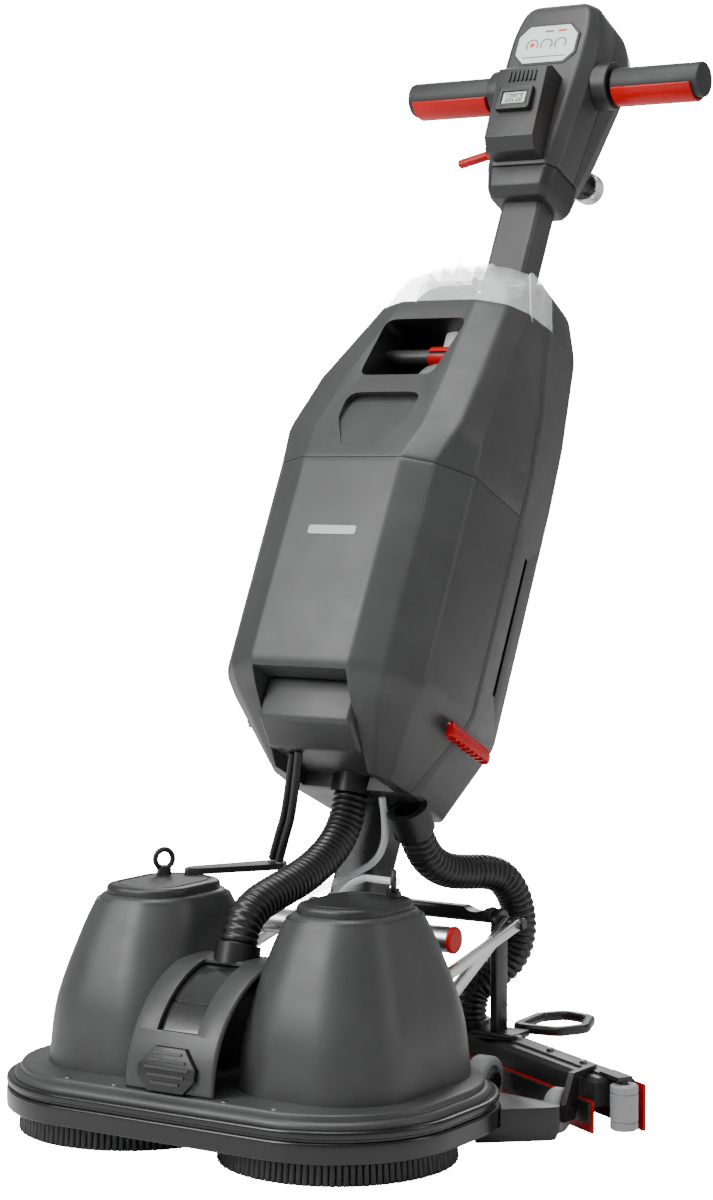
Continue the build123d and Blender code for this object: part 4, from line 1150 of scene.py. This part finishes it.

# %% [markdown]
# The meter box sits low on the head's front. Its front face slopes; a dark frame with a pale
# display stands a little proud of it, its glow painted into its pale colour, and a row of black
# bars across the top is painted shade for the vent slots.

# %% Meter box
side_line = [(-74, 920), (-78, 1000), (-70, 1006), (-38, 1006), (-38, 908), (-64, 908)]
meter = arch_piece("meter_box_shell", [(w + 2, v) for w, v in side_line], 29)
slice_off(meter, (29, -76, 916), Vector((1, -0.6, -1.2)).normalized())
slice_off(meter, (-29, -76, 914), Vector((-1, -0.6, -1.2)).normalized())
soften(meter, 3.4, lambda e: sharp(e, 20) and max(v.co.y for v in e.verts) < -36.5, 4)
settle(meter, on_column, dark_shell, "column", ["meter_box"], "shell_dark", smooth=40)
ring_line = rounded([(-20.5, 948), (20.5, 948), (20.5, 976), (-20.5, 976)], 3.5)
glass_line = rounded([(-14, 955), (14, 955), (14, 969), (-14, 969)], 1.2)
surround = slab("meter_frame", ring_line, -80.5, -70)
cut(surround, slab("window", rounded([(-14.2, 954.8), (14.2, 954.8), (14.2, 969.2),
                                      (-14.2, 969.2)], 1.2), -90, -76.4))
soften(surround, 1.2, lambda e: sharp(e, 60) and max(v.co.y for v in e.verts) < -79, 3)
settle(surround, on_column, block_black, "column", ["meter_box"], "meter_black", smooth=40)


# The display emits no light: its glow is painted into a pale colour.
def display_painted_glow():
    finish = Finish("pale display")
    speck = finish.noise(900, 2)
    tone = finish.mix(speck, (0.60, 0.66, 0.58), (0.70, 0.75, 0.68))
    return finish.paint(Base_Color=tone, Roughness=0.18, Coat_Weight=0.5)


display = slab("meter_display", glass_line, -78.4, -72)
settle(display, on_column, display_painted_glow(), "column", ["meter_box"])
digits = []
for number, x in enumerate((-10, -5.8, -1.6, 2.6, 6.8)):
    for low, high in ((958, 961.6), (962.4, 966)):
        digits.append(block("digit", (x, x + 0.9), (-78.7, -78), (low, high)))
        if (number + int(high)) % 3:
            digits.append(block("digit", (x + 2.2, x + 3.1), (-78.7, -78), (low, high)))
    digits.append(block("digit", (x, x + 3.1), (-78.7, -78), (957.4, 958.2)))
    digits.append(block("digit", (x, x + 3.1), (-78.7, -78), (966, 966.8)))
settle(join(digits, "meter_digits"), on_column, block_black, "column")
# Black bars for the vents: painted shade where the vent slots are dark inside.
vent_shade_bars = [block("vent", (x, x + 2), (-77.2, -74), (984, 996)) for x in range(-14, 18, 5)]
settle(join(vent_shade_bars, "meter_vent_shade"), on_column, block_black, "column")

# %% [markdown]
# A round boss stands on each side of the head with a handle grip beyond it. The grip is black
# rubber, and the lower half of its sleeve is the red trigger.

# %% Bosses, grips and triggers
boss = drum("boss_right", 25, 50, 71.5, "X", grip_at, 56)
pick(boss, lambda f: f.normal.x > 0.9)
bpy.ops.mesh.inset(thickness=5, depth=0)
bpy.ops.mesh.extrude_region_move(TRANSFORM_OT_translate={"value": (-1.2, 0, 0)})
bpy.ops.object.mode_set(mode="OBJECT")
soften(boss, 2.4, lambda e: sharp(e, 60) and min(v.co.x for v in e.verts) > 70.5, 4)
both_sides(boss, "boss", on_column, dark_shell, "column", ["handlebar"], "shell_dark", smooth=40)
grip = drum("grip_right", 18.5, 72, 176, "X", grip_at, 56)
soften(grip, 2.5, crisp, 4)
both_sides(grip, "grip", on_column, grip_black, "column", ["grips"], "grip_rubber", smooth=40)


def trigger_shell(name):
    """The lower part of a sleeve, hollow, with rounded rims."""
    turns = [math.radians(216 + 136 * step / 32) for step in range(33)]
    line = [(grip_at[0] + radius * math.cos(a), grip_at[1] + radius * math.sin(a))
            for radius, way in ((22.6, turns), (19.2, turns[::-1])) for a in way]
    shell = skin(name, [(76, line), (168, line)])
    shell.data.transform(from_side)
    soften(shell, 1.6, crisp, 3)
    return shell


right_trigger = trigger_shell("trigger_right_shell")
left_trigger = copy_of(right_trigger, "trigger_left_shell", across)
settle(right_trigger, on_column, red_gloss, "trigger_right", ["trigger_right"], "red_plastic",
       smooth=40)
settle(left_trigger, on_column, red_gloss, "trigger_left", ["trigger_left"], "red_plastic",
       smooth=40)

# %% Release lever
lever = block("release_lever_blade", (-40, 0), (-4.5, 4.5), (-4.5, 4.5))
soften(lever, 3, sharp, 4)
lever.data.transform(Matrix.Translation((-56, -10, 938))
                     @ Matrix.Rotation(math.radians(-16), 4, "Y"))
hub = drum("hub", 6.5, -14.5, -5.5, "Y", (-56, 938), 36)
soften(hub, 1, crisp, 2)
lever = join([lever, hub], "release_lever_blade")
settle(lever, on_column, red_gloss, "lever", ["release_lever"], "red_plastic")

# %% [markdown]
# A knurled metal knob low on the back clamps the handle. Its rim is cut into forty ridges
# and its end is dished.

# %% Clamp knob
def knurled(inner, outer, ridges, low, high):
    rows = []
    for height, shrink in ((low, 2.0), (low + 1, 0.6), (low + 2, 0), (high - 2, 0),
                           (high - 1, 0.5), (high, 1.8), (high, 5), (high - 1.6, 6.4)):
        line = []
        for k in range(ridges * 2):
            radius = (outer if k % 2 else inner) - shrink
            a = math.pi * k / ridges
            line.append((radius * math.cos(a), radius * math.sin(a)))
        rows.append((height, line))
    return skin("knob", rows)


knob_tilt = Matrix.Translation((20, 40, 930)) @ Matrix.Rotation(math.radians(-74), 4, "X")
knob = knurled(15.9, 17, 40, 25, 43)
knob.name = "clamp_knob_ridged"
settle(knob, on_column @ knob_tilt, chrome, "knob", ["clamp_knob"], "chrome_knob", smooth=20)

# %% [markdown]
# Behind the domes a silver step bar with a red end cap stands on each side. Wheels, rollers and
# bars are turned shapes: rings of a circle, one for each change of radius along the axis.

# %% Turned shapes
def turned(name, rows, axis="X", at=(0, 0), sides=48):
    """Rings of radii along an axis, given as (place on the axis, radius)."""
    circle = [(math.cos(2 * math.pi * k / sides), math.sin(2 * math.pi * k / sides))
              for k in range(sides)]
    piece = skin(name, [(place, [(radius * x, radius * y) for x, y in circle])
                        for place, radius in rows])
    if axis == "X":
        piece.data.transform(Matrix.Translation((0, *at)) @ from_side)
    else:
        piece.data.transform(Matrix.Translation((*at, 0)))
    return piece


step_at = (204, 163.5)
both_sides(turned("step", [(58, 11.4), (59, 12.5), (109.8, 12.5)], at=step_at), "step_bar",
           on_deck, silver, "deck", ["step_bars"], "bright_tube", smooth=40)
both_sides(turned("cap", [(109.9, 13.1), (112.6, 13.1), (113.6, 12.4), (114, 11), (114, 6)],
                  at=step_at), "step_cap", on_deck, red_gloss, "deck", ["step_bars"], smooth=50)

# %% Transport wheels
tyre = turned("tyre", [(-10, 12), (-10, 20.6), (-9, 22.8), (-7, 24), (7, 24), (9, 22.8),
                       (10, 20.6), (10, 15.4), (6.2, 14.8), (6.2, 7), (9, 6.4), (9, 4)],
              at=(240, 24))
tyre.data.transform(Matrix.Translation((124, 0, 0)))
left_tyre = copy_of(tyre, "transport_tyre_left", across)
tyre.name = "transport_tyre_right"
settle(tyre, on_deck, wheel_grey, "transport_wheel_right", ["transport_wheel_right"], "wheel_grey")
settle(left_tyre, on_deck, wheel_grey, "transport_wheel_left", ["transport_wheel_left"],
       "wheel_grey")

# %% Guide wheels and end rollers
guide = turned("guide", [(-7, 10), (-7, 17.6), (-6, 19.8), (-4, 21), (4, 21), (6, 19.8), (7, 17.6),
                         (7, 10.4), (5.4, 10), (5.4, 5.4)], at=(182, 21))
guide.data.transform(Matrix.Translation((236, 0, 0)))
hub = turned("hub", [(-7.4, 4), (-7.4, 9), (7.4, 9), (7.4, 5), (8.4, 4), (8.4, 2)], at=(182, 21),
             sides=32)
hub.data.transform(Matrix.Translation((236, 0, 0)))
for side, turn in (("right", None), ("left", across)):
    for part, paint in ((guide, wheel_grey), (hub, block_black)):
        twin = copy_of(part, f"guide_{part.name}_{side}", turn or Matrix.Identity(4))
        settle(twin, on_deck, paint, f"guide_wheel_{side}", [f"guide_wheel_{side}"],
               "wheel_grey" if paint == wheel_grey else None)
bpy.data.objects.remove(guide)
bpy.data.objects.remove(hub)
wing_angle, wing_tip = math.radians(30), (277.54, 215.71)
on_wing = Matrix.Translation((*wing_tip, 0)) @ Matrix.Rotation(-wing_angle, 4, "Z")
roller = turned("roller", [(5, 9), (5, 11.4), (6.4, 13), (12, 13), (13, 12.2), (14, 13), (38, 13),
                           (39, 12.2), (40, 13), (45.6, 13), (47, 11.4), (47, 5)], "Z", (16, 0))
for side, turn in (("right", Matrix.Identity(4)), ("left", across)):
    twin = copy_of(roller, f"end_roller_{side}_turned", turn @ on_wing)
    settle(twin, on_deck, wheel_grey, f"end_roller_{side}", [f"end_roller_{side}"], "wheel_grey")
bpy.data.objects.remove(roller)

# %% [markdown]
# The squeegee follows a V with a rounded middle. One function gives its outline between two
# offsets, for the carrier and for both blades.

# %% Squeegee outline
def vee_half(offset, reach):
    radius = 200 + offset
    points = []
    for step in range(17):
        a = math.radians(30) * step / 16
        points.append((radius * math.sin(a), 145 + radius * math.cos(a)))
    x, y = points[-1]
    points.append((x + reach * math.cos(wing_angle), y - reach * math.sin(wing_angle)))
    return points


def vee(front, rear, reach):
    front_half, rear_half = vee_half(front, reach), vee_half(rear, reach)
    whole_front = [(-x, y) for x, y in reversed(front_half[1:])] + front_half
    whole_rear = [(-x, y) for x, y in reversed(rear_half[1:])] + rear_half
    return whole_front + whole_rear[::-1]


carrier = skin("squeegee_carrier_shell", [
    (24, vee(-20, 20, 204)), (25.4, vee(-21.7, 21.7, 204.6)), (27, vee(-22, 22, 205)),
    (44, vee(-22, 22, 205)), (46.6, vee(-21.2, 21.2, 204.6)), (50, vee(-16, 16, 201)),
    (50.2, vee(-9, 9, 196)), (52.4, vee(-7.6, 7.6, 194)), (52.8, vee(-5, 5, 191))])
settle(carrier, on_deck, dark_shell, "squeegee", ["squeegee_carrier"], "frame_black", smooth=30)
port = turned("port", [(49, 21), (58, 21), (59.4, 20.4), (60, 19), (60, 17.6)], "Z", (50, 338.6))
settle(port, on_deck, block_black, "squeegee", ["squeegee_carrier"])
front_rubber = skin("front_blade_rubber", [
    (0, vee(-24.6, -22.6, 204)), (0.6, vee(-25, -22.1, 205)), (28.8, vee(-25, -22.1, 205)),
    (30, vee(-24.2, -22.6, 204.4))])
settle(front_rubber, on_deck, red_rubber, "squeegee", ["front_blade"], "blade_rubber")
strip = skin("front_blade_strip", [(9, vee(-27, -25.1, 203)), (10, vee(-27.6, -25.1, 203.6)),
                                   (28, vee(-27.6, -25.1, 203.6)), (29, vee(-27, -25.1, 203))])
settle(strip, on_deck, frame_black, "squeegee", slot="frame_black", smooth=30)
rear_rubber = skin("rear_blade_rubber", [
    (0, vee(22.6, 24.6, 218)), (0.6, vee(22.1, 25, 218.9)), (42.8, vee(22.1, 25, 218.9)),
    (44, vee(22.6, 24.2, 218.4))])
settle(rear_rubber, on_deck, red_rubber, "squeegee", ["rear_blade"], "blade_rubber")

# %% Squeegee bolts
def bolt_head(name, x, y, z, radius=4.2):
    head = turned(name, [(z, radius), (z + 2.6, radius), (z + 3.4, radius * 0.8)], "Z", (x, y), 6)
    settle(head, on_deck, steel, "squeegee")


for number, reach in enumerate((30, 90, 150)):
    x, y = vee_half(0, reach)[-1]
    bolt_head(f"carrier_bolt_right_{number}", x, y, 52.6)
    bolt_head(f"carrier_bolt_left_{number}", -x, y, 52.6)

# %% Foot loops
loop_line = [(96, 334), (150, 340), (168, 372), (150, 420), (112, 428), (92, 400)]
middle = Vector((128, 382))


def loop_ring(inset, radius):
    line = []
    for i, here in enumerate(loop_line):
        here = Vector(here)
        a = (here - Vector(loop_line[i - 1])).normalized()
        b = (Vector(loop_line[(i + 1) % 6]) - here).normalized()
        inward = (Vector((-a.y, a.x)) + Vector((-b.y, b.x))).normalized()
        line.append(tuple(here + inward * inset / math.cos(a.angle(b) / 2)))
    return rounded(line, radius, 6)


loop = skin("loop", [(50.2, loop_ring(0, 20)), (59.6, loop_ring(0, 20))])
cut(loop, skin("hole", [(40, loop_ring(11, 12)), (70, loop_ring(11, 12))]))
soften(loop, 3.6, crisp, 4)
both_sides(loop, "foot_loop", on_deck, frame_black, "squeegee", ["foot_loops"], "frame_black",
           smooth=60)

# %% Uprights and cross beam
upright = block("upright", (94, 102), (302, 325), (50.2, 164))
soften(upright, 2, sharp, 3)
eye = turned("eye", [(94, 11.6), (95.4, 13), (100.6, 13), (102, 11.6)], at=(315, 164))
foot = block("foot", (76, 124), (295, 331), (50.2, 57))
soften(foot, 2, sharp, 3)
pin = turned("pin", [(101, 6), (124, 6), (126, 5)], at=(315, 164), sides=32)
both_sides(join([upright, eye, foot, pin], "upright"), "squeegee_upright", on_deck, frame_black,
           "squeegee", ["squeegee_frame"], "frame_black")
beam = block("cross_beam", (-94, 94), (304, 320), (163, 178))
soften(beam, 4, sharp, 4)
cut(beam, drum("saddle", 20.5, 290, 330, "Y", (75, 193.5), 48))
settle(beam, on_deck, frame_black, "squeegee", ["squeegee_frame"], "frame_black")

# %% [markdown]
# Three silver links on each side carry the squeegee: a lower one, a short crank and an upper one.
# Each is a flat bar with round ends, and a pin head shows at each joint.

# %% Lift links
def link(name, start, end, width, low, high):
    a, b = Vector(start), Vector(end)
    along = (b - a).angle_signed(Vector((1, 0)))
    line = []
    for centre, first in ((b, -90), (a, 90)):
        for step in range(13):
            angle = along + math.radians(first + 180 * step / 12)
            out = Vector((math.cos(angle), math.sin(angle)))
            line.append(tuple(centre + width / 2 * out))
    bar = skin(name, [(low, line), (high, line)])
    bar.data.transform(from_side)
    soften(bar, 0.8, crisp, 2)
    return bar


links = [link("lower", (164, 86), (315, 164), 13, 103, 109),
         link("crank", (164, 86), (168, 132), 16, 109, 115),
         link("upper", (168, 132), (315, 164), 11, 116, 122)]
heads = [turned("head", [(high - 1, 6), (high + 1.6, 6), (high + 2.6, 5)], at=place, sides=32)
         for high, place in ((115, (164, 86)), (122, (168, 132)), (122, (315, 164)))]
both_sides(join(links + heads, "links"), "lift_links", on_deck, silver, "squeegee",
           ["lift_struts"], "bright_tube", smooth=40)

# %% Side wings
wing_plan = [(206, 88), (252, 127), (262, 138), (258, 146), (236, 152), (178, 161), (160, 158)]
wing = skin("wing", [(5, rounded([(x * 0.985, y) for x, y in wing_plan], 4)),
                     (13, rounded(wing_plan, 4)), (36, rounded(wing_plan, 4))])
cut(wing, skin("room", [(19.5, deck_line(-1)), (60, deck_line(-1))]))
soften(wing, 1.6, lambda e: sharp(e, 40) and min(v.co.z for v in e.verts) > 4, 3)
both_sides(wing, "side_wing", on_deck, dark_shell, "deck", ["side_wings"], "shell_dark")
bolts = [turned("bolt", [(0, 4), (2.6, 4), (3.4, 3)], "Z", (0, 0), 24) for _ in range(2)]
for number, (x, y) in enumerate(((243, 126), (215, 103))):
    bolts[number].data.transform(Matrix.Translation((x - 2.5, y - 3, 24))
                                 @ Matrix.Rotation(math.radians(-40), 4, "Z")
                                 @ Matrix.Rotation(math.radians(90), 4, "X"))
both_sides(join(bolts, "wing_bolts"), "wing_bolts", on_deck, steel, "deck")

# %% [markdown]
# A plain pale plate marks the front of the tank, where a name might go. It carries no writing.

# %% Plain plate
name_plate = slab("front_plate", rounded([(-27, 408), (27, 408), (27, 417), (-27, 417)], 3),
                  -198.1, -196)
settle(name_plate, on_column, moulded("pale print", (0.42, 0.43, 0.43), 0.4), "column")
